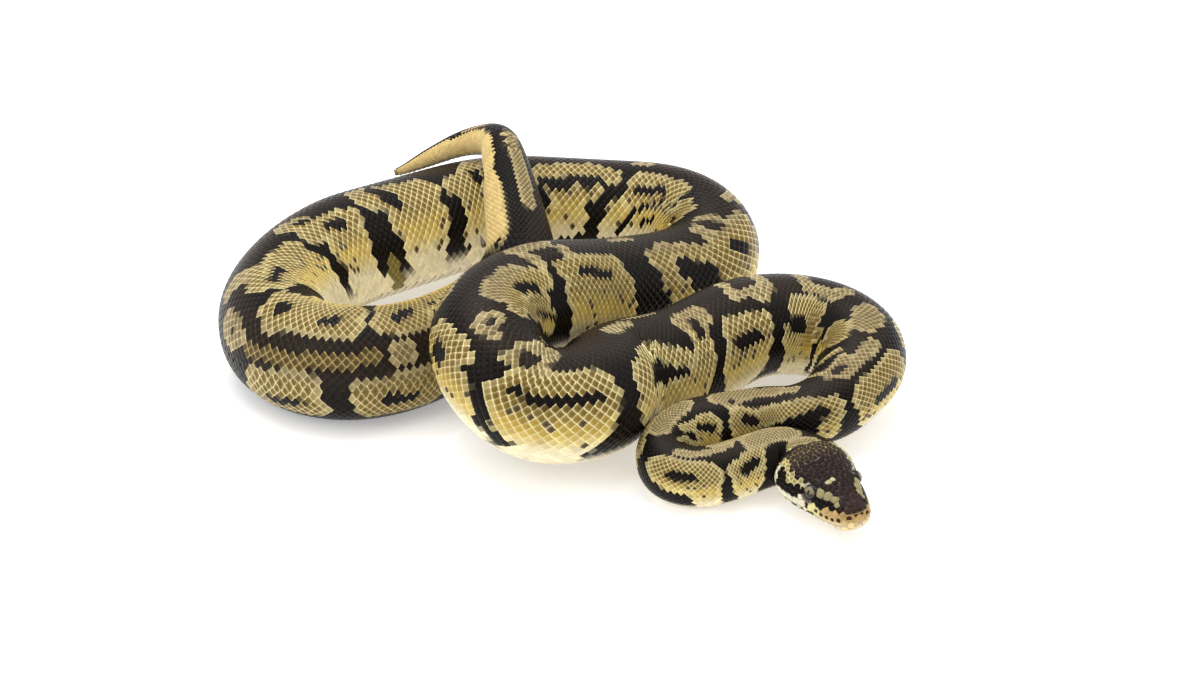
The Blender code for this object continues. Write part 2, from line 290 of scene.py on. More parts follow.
# Pale blotches as strokes of a round brush: from distance, angle, to distance, angle, half width.
BLOTCHES = (
    (34, -8, 38, 30, 2.2), (43, 0, 54, 4, 4.6), (45, -24, 52, -22, 3), (55, 36, 58, 42, 2.6),
    (54.3, 45, 55, 68, 1.5), (58, 40, 65, 56, 2.4), (64, 58, 64, 90, 2.4), (58.5, 85, 60, 96, 3.8),
    (62, 100, 61, 128, 3.4), (75, 60, 82, 60, 6), (74, 85, 73, 120, 3.4), (63, -2, 82, 13, 1.7),
    (58, -24, 69, -24, 2.6), (60, -42, 66, -52, 5), (62, -60, 64, -110, 4), (90, -30, 99, -55, 1.3),
    (96, -52, 106, -84, 1.2), (102, -35, 108, -50, 1.8), (113, -58, 113, -68, 5.2),
    (112, -80, 114, -120, 4.5), (98, 10, 107, 8, 5), (121, 5, 140, 6, 4.4), (140, 6, 149, 2, 2.2),
    (119, -5, 123, -24, 1.6), (123, -24, 127, -8, 1.4), (126, -58, 128, -62, 5.3),
    (134, -58, 150, -45, 3.8), (150, -42, 157, -52, 3.6), (158, -55, 155, -100, 2.8),
    (127, -75, 130, -120, 5), (158, 35, 162, 22, 1.5), (172, 45, 177, 20, 1.8), (164, 2, 172, 2, 3.4),
    (167, -15, 184, -19, 2.8), (169, -60, 185, -62, 5), (168, -65, 169, -105, 4.5),
    (186, -66, 188, -88, 3.5), (170, -108, 184, -108, 4), (195, 0, 200, -8, 6.2), (187, 38, 197, 42, 5.5),
    (190, 62, 205, 86, 3), (207, 90, 220, 112, 2.6), (222, 45, 238, 45, 6.5), (226, 80, 240, 80, 9.5),
    (232, 112, 240, 112, 8), (208, 62, 216, 66, 3), (215, -14, 217, 8, 2.8), (217, 9, 231, 12, 2.6),
    (231, 8, 233, -14, 2.6), (248, -24, 249, 15, 1.8), (252, 25, 254, 18, 2.6), (250, 14, 259, 12, 2.6),
    (260, 5, 259, -26, 1.6), (258, 52, 267, 46, 4.5), (258, 60, 262, 88, 5), (266, 60, 272, 88, 5),
    (264, 100, 270, 112, 7), (277, 15, 283, 15, 6), (281, 40, 283, 60, 4.5), (283, 65, 289, 85, 5),
    (289, 85, 306, 92, 5.4), (291, 55, 302, 40, 3.6), (302, 40, 320, 43, 3.4), (306, 92, 326, 92, 5.5),
    (320, 44, 328, 52, 4), (328, 55, 329, 80, 3.6), (308, -6, 317, -2, 3.4), (290, -20, 304, -20, 1.2),
    (344, 42, 361, 42, 6), (346, 60, 360, 58, 9), (348, 85, 356, 85, 8.5), (350, 108, 353, 125, 7),
    (357, 5, 360, 22, 2.6), (360, 24, 369, 24, 2.2), (369, 18, 369, 2, 2.4), (356, -2, 367, -6, 3.4),
    (366, -15, 368, -22, 2.5), (378, 12, 381, 2, 3), (380, 22, 381, -8, 1.8), (379, 50, 383, 56, 5),
    (376, 75, 384, 72, 5.5), (372, 95, 378, 90, 5), (368, 122, 373, 112, 5.4), (393, -10, 406, -15, 5),
    (387, -35, 400, -30, 4.5), (406, -20, 416, -40, 5), (395, -55, 410, -60, 5), (404, -75, 412, -85, 5),
    (421, 12, 428, 10, 4.5), (419, -5, 421, -25, 2), (432, -5, 434, -20, 2), (430, -38, 450, -38, 5.5),
    (432, -65, 453, -62, 7), (433, -88, 455, -88, 6), (434, -108, 450, -110, 6), (463, 8, 472, 8, 2),
    (476, -35, 484, -25, 4.5), (480, -45, 480, -60, 5), (484, -74, 494, -82, 4.5),
    (484, -22, 498, -32, 3.6), (498, -35, 512, -42, 4), (512, -45, 526, -45, 7), (510, -62, 526, -62, 6),
    (516, -84, 524, -100, 6), (510, -5, 511, -18, 3), (513, 2, 521, 3, 2.5), (523, -3, 522, -20, 2.5),
    (512, -28, 522, -26, 2.5), (538, -25, 541, -42, 2.4), (545, 62, 575, 76, 6.5), (550, 20, 570, 20, 3.6),
    (552, 35, 574, 45, 4), (572, 25, 574, 45, 3), (533, 25, 543, 30, 3), (583, 85, 580, 58, 3.4),
    (582, 18, 590, 10, 4), (590, 38, 598, 48, 4.6), (598, 72, 606, 78, 7), (592, 8, 610, 14, 4),
    (600, 50, 606, 30, 4), (568, -13, 572, -13, 2.4), (640, 20, 648, 25, 6), (641, 45, 645, 50, 5.5),
    (645, 75, 648, 80, 5.2), (643, 100, 646, 108, 5), (636, -8, 640, 5, 4), (664, 20, 682, 8, 8),
    (665, 50, 674, 45, 8), (668, 80, 671, 80, 8.2), (667, 110, 669, 125, 7.3), (686, -8, 686, 5, 4.5),
    (698, 25, 714, 15, 6), (700, 50, 707, 48, 7), (700, 80, 705, 80, 7.5), (693, 110, 701, 112, 7),
    (712, -5, 716, -12, 5), (728, 15, 740, 5, 6), (728, 45, 745, 40, 8), (727, 75, 741, 70, 8),
    (722, 100, 736, 100, 7.5), (745, 25, 752, 5, 7.5), (745, -18, 753, -18, 4.5), (744, -35, 746, -52, 3.4),
    (758, -66, 760, -68, 5.6), (766, -5, 772, 5, 5.5), (768, -25, 771, -33, 4.8), (775, 5, 792, 5, 7),
    (775, -18, 791, -20, 6), (776, 40, 792, 40, 8), (804, -18, 815, -22, 5.5), (808, 5, 822, 5, 7),
    (825, 10, 840, 22, 5), (812, 40, 838, 45, 7), (806, -52, 806, -59, 3.7), (772, -97, 782, -87, 5),
    (772, -116, 782, -112, 6.5), (798, -92, 812, -88, 5.2), (801, -112, 812, -110, 7),
    (899, -24, 932, -24, 3.2),
)

# Black spots within the blotches, and the black stripes of the tail, as strokes of the same kind.
SPOTS = (
    (57, 54, 61, 62, 2), (77, 61, 81, 63, 1.7), (110, -55, 115, -64, 1.5), (123, -14, 123.5, -16, 1),
    (136, 25, 145, 28, 1.6), (127, -56, 130, -63, 2), (147, -72, 154, -58, 2.4), (166, -2, 169, -4, 1.6),
    (173, -86, 181, -84, 2.3), (235, 62, 242, 64, 3.4), (205, 76, 222, 116, 1.6), (222, 118, 226, 140, 2),
    (260, 66, 267, 63, 2.5), (280, 34, 280, 22, 2.4), (343.5, 54, 356, 57, 2.1), (356, 57, 362, 51, 1.8),
    (364, 20, 367, 10, 2.3), (379.5, 7, 380.5, 3, 1.2), (382, 76, 382, 66, 2.6), (402, -32, 410, -44, 2.4),
    (400, -64, 418, -86, 1.1), (427, -10, 429, -20, 2.2), (434, -43, 446, -48, 2.1),
    (487, -45, 492, -50, 2.2), (492, -53, 502, -60, 3.8), (494, -68, 504, -72, 3),
    (518, -46, 522, -60, 2.5), (517, -2, 519, -18, 2.6), (560, 66, 568, 72, 1.3), (556, 42, 572, 60, 0.8),
    (572, 60, 580, 86, 0.9), (558, 30, 572, 38, 1.8), (588, 26, 592, 32, 2.3), (601, 34, 609, 30, 2.5),
    (638, 22, 638, 15, 2.6), (675, 27, 678, 20, 2.5), (677, 15, 681, -6, 2.8), (700, 27, 705, 22, 2.2),
    (710, 0, 713, -6, 1.6), (744, 9, 752, 1, 2.4), (759, -65, 759, -67, 1.5), (769, -12, 770, -18, 2.7),
    (786, -17, 789, -13, 2.3), (808, -13, 814, -5, 2.3), (824, -5, 826, -4, 1), (774, -116, 781, -106, 1.9),
    (802, -101, 808, -105, 2.2), (882, 33, 885, 40, 1.1), (917, 84, 924, 90, 1.4), (886, -8, 902, 4, 1.6),
    (902, 6, 918, 25, 2.2), (918, 25, 930, 12, 2.2), (930, 12, 940, 25, 2.2), (940, 24, 962, 14, 0.9),
    (904, -62, 930, -62, 2.2), (676, 122, 680, 88, 1.4),
)

# Stretches out of sight, filled with blotches of the same kind: from, to, side of the midline.
UNSEEN = (
    (92, 165, 1), (395, 540, 1), (846, 876, 1), (846, 876, -1), (196, 380, -1), (548, 760, -1),
    (616, 634, 1),
)
UNSEEN_LEAD = 8.0  # from the stretch's start to its first blotch
UNSEEN_ROWS = ((58, 1.0), (88, 1.1), (118, 1.0))  # angle from the midline, width of the stroke there

# Faint rows in the dark ground, as strokes: a row of pale rims, and a haze between two blotches.
PALE_RIMS = ((768, -69, 798, -56, 2.8),)
HAZE = ((686, 84, 681, 118, 2.6),)

BLOTCH_BLEND = 0.7  # how softly neighbouring strokes run together, in millimetres
SPOT_BLEND = 0.4
BORDER_BLUR = 0.35  # millimetres over which a blotch turns into the dark ground
BORDER = (-2.0, -0.2)  # places beside a blotch's edge between which its scales pale a little
RAGGED = 0.12  # how far single scales stray from a blotch's edge
FAR = 40  # strokes are felt up to this many millimetres away
SKIN_CHANCE = 3  # seeds for what varies from place to place on the skin and the scales
SCALE_CHANCE = 11

# Angles from the back's midline between which the colours change.
BROWN_BACK = (40, 14)
TAN_BACK = (34, 16)
YELLOW_FLANK = (62, 96)
CREAM_FLANK = (84, 112)
PALE_FLANK = (96, 118)
BELLY_FROM = (118, 138)
FLECKS_FROM = (60, 72)
FLECKS_TO = (112, 98)
FLECK_SHARE = 0.11  # how many of those scales are dark
TAIL_GOLD_FROM = (876, 890)  # distances between which the tail's sides turn golden
TAIL_GOLD_BELOW = ((876, 60), (930, 60), (948, 38))  # distance, angle of the golden sides' upper edge
TAIL_EDGE_BLUR = 10


def paint(red, green, blue):
    """A colour told in the 0 to 255 of a paint chart, as light."""
    return np.array([((v / 255 + 0.055) / 1.055) ** 2.4 if v > 10 else v / 3295 for v in (red, green, blue)])


BLACK = paint(13, 9, 6)
BLACK_EDGE = paint(32, 26, 22)
UMBER = paint(48, 38, 31)
UMBER_EDGE = paint(92, 78, 62)
OLIVE = paint(101, 77, 16)
YELLOW = paint(196, 164, 66)
CREAM = paint(255, 240, 180)
LOW_CREAM = paint(208, 192, 140)
TAN = paint(106, 89, 54)
TAN_EDGE = paint(228, 211, 162)
BELLY = paint(238, 226, 196)
NET_DARK = paint(74, 58, 32)
NET_LIGHT = paint(206, 182, 118)
FLECK = paint(62, 42, 22)
TAIL_GOLD = paint(214, 186, 122)
HAZE_DARK = paint(112, 98, 44)
HAZE_LIGHT = paint(168, 154, 96)


def more_strokes():
    """Blotches and their spots for the stretches that are out of sight, in the same style."""
    pale, dark = [], []
    for start, end, side in UNSEEN:
        at = start + UNSEEN_LEAD
        while at < end - UNSEEN_LEAD / 2:
            middle = read(MIDLINE, at)
            half = RANDOM.uniform(3, 6)
            wide = RANDOM.uniform(5.5, 7.5) * girth_at(at) / 20
            for turn, share in UNSEEN_ROWS:
                angle = middle + side * turn
                pale.append((at - half, angle, at + half, angle + RANDOM.uniform(-4, 4), wide * share))
            spot = middle + side * RANDOM.uniform(58, 66)
            dark.append((at - half * 0.6, spot, at + half * 0.6, spot + RANDOM.uniform(-6, 6), wide * 0.3))
            at += 2 * half + 2 * wide + RANDOM.uniform(4, 7)
    return BLOTCHES + tuple(pale), SPOTS + tuple(dark)


ALL_BLOTCHES, ALL_SPOTS = more_strokes()


def stroke_distance(at, angle, strokes, blend):
    """How far each place is outside the nearest stroke, in millimetres: below zero is inside it."""
    scale = girth_at(at) * math.pi / 180
    total = np.zeros(np.shape(at))
    for at0, angle0, at1, angle1, half in strokes:
        x, y = at - at0, (angle - angle0) * scale
        run, climb = at1 - at0, (angle1 - angle0) * scale
        share = np.clip((x * run + y * climb) / (run * run + climb * climb + 1e-9), 0, 1)
        outside = np.hypot(x - share * run, y - share * climb) - half
        total += np.exp(-np.minimum(outside, FAR) / blend)
    return -blend * np.log(total + 1e-20)


def mix(first, second, share):
    share = np.clip(share, 0, 1)[..., None]
    return first * (1 - share) + second * share


def markings(at, angle, seed):
    """The colours of a scale's middle and of its rim, at distances and angles."""
    chance = np.random.default_rng(seed)
    from_back = np.abs((angle - read(MIDLINE, at) + 180) % 360 - 180)
    wobble = chance.normal(0, RAGGED, np.shape(at))
    outside = stroke_distance(at, angle, ALL_BLOTCHES, BLOTCH_BLEND) + wobble
    spot = stroke_distance(at, angle, ALL_SPOTS, SPOT_BLEND) + wobble * 0.6

    brown = fade(from_back, BROWN_BACK) * 0.4
    tan = fade(from_back, TAN_BACK)
    heart = mix(mix(OLIVE, TAN, tan), YELLOW, fade(from_back, YELLOW_FLANK))
    heart = mix(heart, LOW_CREAM, fade(from_back, CREAM_FLANK))
    heart = mix(heart, BELLY, fade(from_back, PALE_FLANK))
    rim = mix(CREAM, TAN_EDGE, tan)
    heart = mix(heart, rim, fade(outside, BORDER) * 0.25)
    flecks = FLECK_SHARE * fade(from_back, FLECKS_FROM) * fade(from_back, FLECKS_TO)
    heart = np.where((chance.random(np.shape(at)) < flecks)[..., None], FLECK, heart)

    below_edge = (from_back - read(TAIL_GOLD_BELOW, at)) / TAIL_EDGE_BLUR
    tail = fade(at, TAIL_GOLD_FROM) * ease(below_edge + 0.5)
    heart = mix(heart, TAIL_GOLD, tail * 0.85)
    rim = mix(rim, TAIL_GOLD * 1.15, tail * 0.8)
    in_blotch = np.maximum(ease(0.5 - outside / BORDER_BLUR), tail)
    pale = np.minimum(in_blotch, ease(0.5 + spot / BORDER_BLUR))
    belly = fade(from_back, BELLY_FROM)
    middle = mix(mix(mix(BLACK, UMBER, brown), BELLY, belly), heart, pale)
    edge = mix(mix(mix(BLACK_EDGE, UMBER_EDGE, brown), BELLY, belly), rim, pale)
    for strokes, dark, light in ((PALE_RIMS, NET_DARK, NET_LIGHT), (HAZE, HAZE_DARK, HAZE_LIGHT)):
        faint = ((stroke_distance(at, angle, strokes, SPOT_BLEND) < 0) & (pale < 0.5))[..., None]
        middle = np.where(faint, dark, middle)
        edge = np.where(faint, light, edge)
    shade = 1 + chance.normal(0, 0.07, np.shape(at))[..., None]
    return middle * shade, edge * shade


# -------- the head's colours
CROWN = paint(30, 22, 20)
CROWN_EDGE = paint(96, 78, 68)
NAPE_EDGE = paint(132, 112, 94)
SNOUT_BROWN = paint(50, 37, 34)
AMBER = paint(190, 158, 104)
LIP = paint(234, 208, 152)
LIP_YELLOW = paint(226, 216, 152)
LIP_WHITE = paint(228, 222, 196)
CANTHUS = paint(150, 140, 100)  # the pale line from the eye to the nostril
CANTHUS_EDGE = paint(192, 182, 140)
CHIN = paint(232, 222, 202)
STRIPE = paint(150, 132, 84)
STRIPE_EDGE = paint(236, 226, 168)
# painted shade inside the heat pits and the nostrils
PIT_SHADE = paint(58, 30, 16)
LID_PALE = paint(172, 160, 146)
LID_DIM = paint(104, 90, 88)
# painted shade in the parting of the lips
LIP_PARTING_SHADE = paint(26, 18, 14)

PALE_SPOT = (14.9, 2.4, 13.9)
PALE_SPOT_REACH = 1.2
# distance from the tip, height of the upper edge: of the black band, the pale stripe and the lip
BAND_TOP = ((18, 10.6), (25.5, 10.7), (27.5, 11.9), (30, 13.0))
STRIPE_TOP = ((18, 11.9), (21, 12.5), (25, 13.0), (28, 13.8), (30, 14.8), (34, 15.2))
LIP_TOP = ((0, 9.4), (3, 9.0), (7, 8.2), (11, 7.3), (15, 7.6), (20, 7.9), (24, 6.4), (30, 6.3))
STRIPE_FROM = 18.5
BAND_TO = 31
BAND_OUT = 4  # the band is only this far from the head's middle and farther

# Distances from the tip between which the colours change, and heights for the front of the lip.
SNOUT_TO_CROWN = (4, 12)
# the snout's rims, pale and lightened further by a painted highlight, give way to the crown's rims over these
SNOUT_SHEEN_TO_CROWN_EDGE = (8, 14)
CROWN_TO_NAPE_EDGE = (20, 30)
CROWN_TO_TAN = (24, 32)
LIP_TO_AMBER = (4.2, 5.8)
AMBER_TO_BROWN = (7.6, 9.2)
YELLOW_TO_WHITE = (15, 19)
FRONT_TO_REAR = (10, 12.5)
LIP_TO_CHIN = (2, 8)


def on_stripe(places):
    """Whether places on the head lie on the pale stripe behind the eye."""
    along, high = places[:, 0], places[:, 2] - HEAD_NOD * places[:, 0]
    return (along > STRIPE_FROM) & (high > read(BAND_TOP, along)) & (high < read(STRIPE_TOP, along))


def head_colors(places):
    """The colours of a plate's middle and rim at places on the head."""
    along, high = places[:, 0], places[:, 2] - HEAD_NOD * places[:, 0]
    middle = mix(SNOUT_BROWN, CROWN, passed(along, SNOUT_TO_CROWN))
    # The snout's plates have paler rims, lightened well past their own brown as a painted highlight of their
    # gloss.
    edge = mix(SNOUT_BROWN * 2.2, CROWN_EDGE, passed(along, SNOUT_SHEEN_TO_CROWN_EDGE))
    edge = mix(edge, NAPE_EDGE, passed(along, CROWN_TO_NAPE_EDGE))
    rear = fade(along, CROWN_TO_TAN) * 0.5
    middle, edge = mix(middle, TAN, rear * 0.35), mix(edge, TAN_EDGE, rear)

    def lay(where, new_middle, new_edge):
        nonlocal middle, edge
        middle = np.where(where[:, None], new_middle, middle)
        edge = np.where(where[:, None], new_edge, edge)

    lay(on_stripe(places), STRIPE, STRIPE_EDGE)
    band_top, lip_top = read(BAND_TOP, along), read(LIP_TOP, along)
    in_band = (high > lip_top) & (high <= band_top) & (np.abs(places[:, 1]) > BAND_OUT)
    lay(in_band & (along < BAND_TO), BLACK, BLACK_EDGE)
    lay((along >= BAND_TO) & (high <= band_top), LIP_WHITE, STRIPE_EDGE)
    front = mix(mix(LIP, AMBER, passed(high, LIP_TO_AMBER)), SNOUT_BROWN, passed(high, AMBER_TO_BROWN))
    rear_lip = mix(LIP_YELLOW, LIP_WHITE, passed(along, YELLOW_TO_WHITE))
    lip_color = mix(front, rear_lip, passed(along, FRONT_TO_REAR))
    lay(high <= lip_top, lip_color, lip_color * 1.15)
    lay(high < read(MOUTH, along), mix(LIP, CHIN, passed(along, LIP_TO_CHIN)), CHIN * 0.85)
    in_spot = np.linalg.norm(places - np.array(PALE_SPOT), axis=1) < PALE_SPOT_REACH
    lay(in_spot, CANTHUS_EDGE, CANTHUS_EDGE)
    return middle, edge


# -------- shader maths and materials
class Maths:
    """A socket that can be written in sums: each sum adds its Math node."""

    def __init__(self, tree, socket=None):
        self.tree, self.socket = tree, socket

    def node(self, kind, settings=(), output=0, **inputs):
        """One output of any other node: its settings come first, then its inputs' values or links."""
        made = self.tree.nodes.new(kind)
        for name, value in dict(settings).items():
            setattr(made, name, value)
        for name, value in inputs.items():
            key = int(name[1:]) if name[0] == "i" and name[1:].isdigit() else name
            if isinstance(value, Maths):
                self.tree.links.new(value.socket, made.inputs[key])
            else:
                made.inputs[key].default_value = value
        return Maths(self.tree, made.outputs[output])

    def sum(self, operation, first, second):
        return self.node("ShaderNodeMath", {"operation": operation}, i0=first, i1=second)

    def mix(self, share, first, second):
        """A colour between two colours, each one a socket or red, green and blue."""
        ends = [end if isinstance(end, Maths) else (*end, 1) for end in (first, second)]
        return self.node("ShaderNodeMix", {"data_type": "RGBA"}, 2, i0=share, i6=ends[0], i7=ends[1])

    def attribute(self, name, output):
        return self.node("ShaderNodeAttribute", {"attribute_name": name}, output)

    def noise(self, size):
        """Soft noise from 0 to 1 whose grains are about so many metres across."""
        where = self.node("ShaderNodeTexCoord", output="Object")
        return self.node("ShaderNodeTexNoise", Vector=where, Scale=1 / size, Detail=2.0)

    def __add__(self, other):
        return self.sum("ADD", self, other)

    def __mul__(self, other):
        return self.sum("MULTIPLY", self, other)

    def __sub__(self, other):
        return self.sum("SUBTRACT", self, other)

    def __rsub__(self, other):
        return self.sum("SUBTRACT", other, self)

    __radd__ = __add__
    __rmul__ = __mul__


ROUGHNESS_SPREAD = 0.2
BUMP_STRENGTH = 0.5
MOTTLE_SIZE = 0.0011
HORN_BAND = 0.0008
DUST = paint(20, 15, 10)
HORN_DARK = paint(46, 38, 30)
HORN_LIGHT = paint(112, 98, 78)


def new_material(name, color, specular):
    made = bpy.data.materials.new(name)
    made.use_nodes = True
    shader = made.node_tree.nodes["Principled BSDF"]
    shader.inputs["Base Color"].default_value = (*color, 1)
    shader.inputs["Specular IOR Level"].default_value = specular
    return made, shader, Maths(made.node_tree)


def finish(maths, shader, color, roughness, grain, relief):
    """Links a colour, and lets a fine grain vary the gloss and lift the surface a little."""
    fine = maths.noise(grain)
    bump = maths.node("ShaderNodeBump", Strength=BUMP_STRENGTH, Distance=relief, Height=fine)
    gloss = roughness + (fine - 0.5) * ROUGHNESS_SPREAD
    for name, value in (("Base Color", color), ("Roughness", gloss), ("Normal", bump)):
        maths.tree.links.new(value.socket, shader.inputs[name])


def scale_material():
    """Scales: a darker heart and a pale rim, faint mottling, and a waxy gloss that is not quite even."""
    made, shader, maths = new_material("scales", BLACK, specular=0.09)
    color = maths.mix(
        maths.attribute("rim", "Fac"), maths.attribute("middle", "Color"), maths.attribute("edge", "Color"))
    mottle = maths.noise(MOTTLE_SIZE)
    color = maths.mix(mottle * mottle * 0.35, color, DUST)
    finish(maths, shader, color, roughness=0.27, grain=0.0004, relief=0.00005)
    return made


def painted_material(name, roughness, specular, grain, relief):
    """A finish whose colour lies in the mesh's own paint, with a fine grain over it."""
    made, shader, maths = new_material(name, TAN, specular)
    color = maths.mix(maths.noise(grain * 2) * 0.3, maths.attribute("paint", "Color"), DUST)
    finish(maths, shader, color, roughness, grain, relief)
    return made


def claw_material():
    """Horn: brown, paler and darker in soft bands."""
    made, shader, maths = new_material("claws", HORN_DARK, specular=0.4)
    color = maths.mix(maths.noise(HORN_BAND), HORN_DARK, HORN_LIGHT)
    finish(maths, shader, color, roughness=0.35, grain=0.0003, relief=0.00004)
    return made


SCALES = scale_material()
SKIN = painted_material("skin_between_scales", roughness=0.55, specular=0.2, grain=0.0005, relief=0.0001)
EYE = painted_material("eyes", roughness=0.08, specular=0.35, grain=0.0003, relief=0.000004)
CLAW = claw_material()


# -------- meshes
LAYERS = {"FLOAT": "value", "FLOAT_VECTOR": "vector", "FLOAT_COLOR": "color"}


def new_thing(name, places, faces=()):
    """A smooth mesh object from places in millimetres."""
    mesh = bpy.data.meshes.new(name)
    mesh.from_pydata((places * MM).tolist(), [], faces)
    mesh.shade_smooth()
    thing = bpy.data.objects.new(name, mesh)
    bpy.context.scene.collection.objects.link(thing)
    return thing


def add_mesh(name, places, faces, look):
    """A finished mesh object. No place is under the floor."""
    places = np.array(places, float)
    places[:, 2] = np.maximum(places[:, 2], 0)
    thing = new_thing(name, places, faces)
    thing.data.materials.append(look)
    return thing


def add_layer(thing, name, kind, values):
    """Gives each place of a mesh a number, a way or a colour."""
    layer = thing.data.attributes.new(name, kind, "POINT")
    layer.data.foreach_set(LAYERS[kind], np.asarray(values, np.float32).ravel())


def add_paint(thing, name, colors):
    add_layer(thing, name, "FLOAT_COLOR", np.c_[colors, np.ones(len(colors))])


def add_patches(thing, roots, patches):
    """Gives each scale its small patch of the unwrap, at its root's place."""
    corners = np.zeros(len(thing.data.loops), np.int32)
    thing.data.loops.foreach_get("vertex_index", corners)
    places = roots[corners] + patches[corners] * PATCH / 2
    layer = thing.data.uv_layers.new(name="OFBake")
    layer.uv.foreach_set("vector", places.astype(np.float32).ravel())


def grid_faces(rows, columns, closed):
    """Faces of a grid of places, which closes round each row or not."""
    last = columns if closed else columns - 1
    i, j = np.meshgrid(np.arange(rows - 1), np.arange(last), indexing="ij")
    k = (j + 1) % columns
    quads = np.stack([i * columns + j, i * columns + k, (i + 1) * columns + k, (i + 1) * columns + j], -1)
    return quads[:, :, ::-1].reshape(-1, 4)


def band(low, top, sides):
    """Faces between two rings, each told by the number of its first place."""
    return [(low + j, low + (j + 1) % sides, top + (j + 1) % sides, top + j) for j in range(sides)]


def fan(ring, tip, sides):
    """Faces from a ring to one place."""
    return [(ring + j, ring + (j + 1) % sides, tip) for j in range(sides)]


def tube_faces(rows, sides):
    """Faces of a row of rings, closed at both ends round two places that follow the rings."""
    last, tip = (rows - 1) * sides, rows * sides
    far_end = [face[::-1] for face in fan(last, tip + 1, sides)]
    return grid_faces(rows, sides, True).tolist() + fan(0, tip, sides) + far_end


# -------- the skin
SKIN_DEPTH_HEAD = 0.3
SKIN_DEPTH_BODY = 0.55
COAT_THICKENS = (36, 66)  # distances between which the coat reaches its depth on the body
COAT_THINS = (932, 992)
SKIN_SIDES = 120
TIP_RINGS = (0, 0.15, 0.4)
HEAD_RINGS = (0.8, 36, 0.4)  # from, to, step
BODY_RINGS = (36.5, BODY_LENGTH, 2.2)
BETWEEN_SCALES = 0.45  # how light the skin between the scales is, for each unit of theirs
BETWEEN_PLATES = 0.8
HEAD_COLORS_TO = 34
# the skin in the lips' parting is painted near black as shade, from this distance back and this far above and
# below
LIP_PARTING_SHADE_FROM = 14
LIP_PARTING_SHADE_HALF = 0.6


def skin_depth(at):
    deeper = fade(at, COAT_THICKENS) * fade(at, COAT_THINS[::-1])
    return SKIN_DEPTH_HEAD + (SKIN_DEPTH_BODY - SKIN_DEPTH_HEAD) * deeper


def skin_colors(at, angle):
    """The skin's colours: those of the scales, darker, and painted shade in the parting of the lips."""
    middle, edge = markings(at, (angle + 180) % 360 - 180, SKIN_CHANCE)
    body = (mix(middle, edge, 0.5) * BETWEEN_SCALES).reshape(-1, 3)
    places = head_point(np.minimum(at, HEAD_COLORS_TO), angle, 0).reshape(-1, 3)
    along, high = places[:, 0], places[:, 2]
    _, head = head_colors(places)
    # Painted shade along the parting of the lips.
    in_parting_shade = (along > LIP_PARTING_SHADE_FROM) & (along < MOUTH[-1][0])
    in_parting_shade &= np.abs(high - mouth_line(along)) < LIP_PARTING_SHADE_HALF
    head = np.where(in_parting_shade[:, None], LIP_PARTING_SHADE, head * BETWEEN_PLATES)
    return np.where((at < HEAD_COLORS_TO).reshape(-1, 1), head, body)


def make_skin():
    """One closed skin from the snout to the tip of the tail."""
    rings = np.concatenate([TIP_RINGS, np.arange(*HEAD_RINGS), np.arange(*BODY_RINGS), [BODY_LENGTH]])
    angles = np.arange(SKIN_SIDES) * 360 / SKIN_SIDES
    at, angle = np.meshgrid(rings, angles, indexing="ij")
    places = surface(at, angle, skin_depth(at))
    tips = [places[0].mean(0), places[-1].mean(0)]
    skin = add_mesh("skin", np.vstack([*places, tips]), tube_faces(len(rings), SKIN_SIDES), SKIN)
    colors = skin_colors(at, angle)
    add_paint(skin, "paint", np.vstack([colors, colors[:1], colors[-1:]]))
    return skin


# -------- the body's scales
PATCH = 0.003  # width of one scale's patch on its strip's unwrap
BODY_START = 33.5
BARE_TIP = 1.0  # the tail's last stretch, with no scales
ROWS_AROUND = 57  # long rows of scales over the back and flanks
ROWS_SPAN = 290.0  # degrees that those rows take
ROWS_IN_STRIP = 8
TAIL_ROWS_FROM = 925.0  # past this the tail is thin, and every other pair of rows ends
SCALE_OVERLAP = 1.16
SCALE_THICKNESS = 0.65
THICK_AT = 2.2  # thickness follows the root of a scale's length over this one
THICKEST = 1.2  # up to the root of this
SMALLEST_SHARE = 0.55  # how much of its length a scale keeps where the skin is folded
COUNT_STEP = 0.25  # how finely the scales of a row are counted out
SOFTEN_PITCH = 6.0

# distance from the snout, distance between the scales of one row
PITCH = (
    (33, 1.3), (90, 1.35), (120, 1.5), (150, 1.7), (177, 2.2), (240, 2.3), (293, 2.0), (330, 2.3),
    (350, 2.4), (380, 1.7), (425, 2.2), (448, 2.5), (478, 4.1), (505, 3.2), (545, 2.7), (670, 2.8),
    (720, 2.6), (790, 2.1), (880, 2.4), (920, 2.0), (960, 1.5), (988, 1.2),
)

SCALE_CORNERS = 8
SCALE_DIAMOND = 1.35  # 1 gives a sharp diamond and 2 a circle
SCALE_TIP_LIFT = 0.3  # how much the rear tip stands up and the front tip lies down
SKIRT_SHARE = 0.96  # the hidden lower edge: its share of the outline, and its height
SKIRT_HEIGHT = -0.9
DOME_SHARE = 0.66  # the ring where the pale rim ends: the same
DOME_HEIGHT = 0.46
TOP_HEIGHT = 0.8
DOME_RIM = 0.1  # how much of the rim's colour is left there


def pitch(at):
    """The distance between the scales of one row."""
    return profile(PITCH, at, SOFTEN_PITCH)


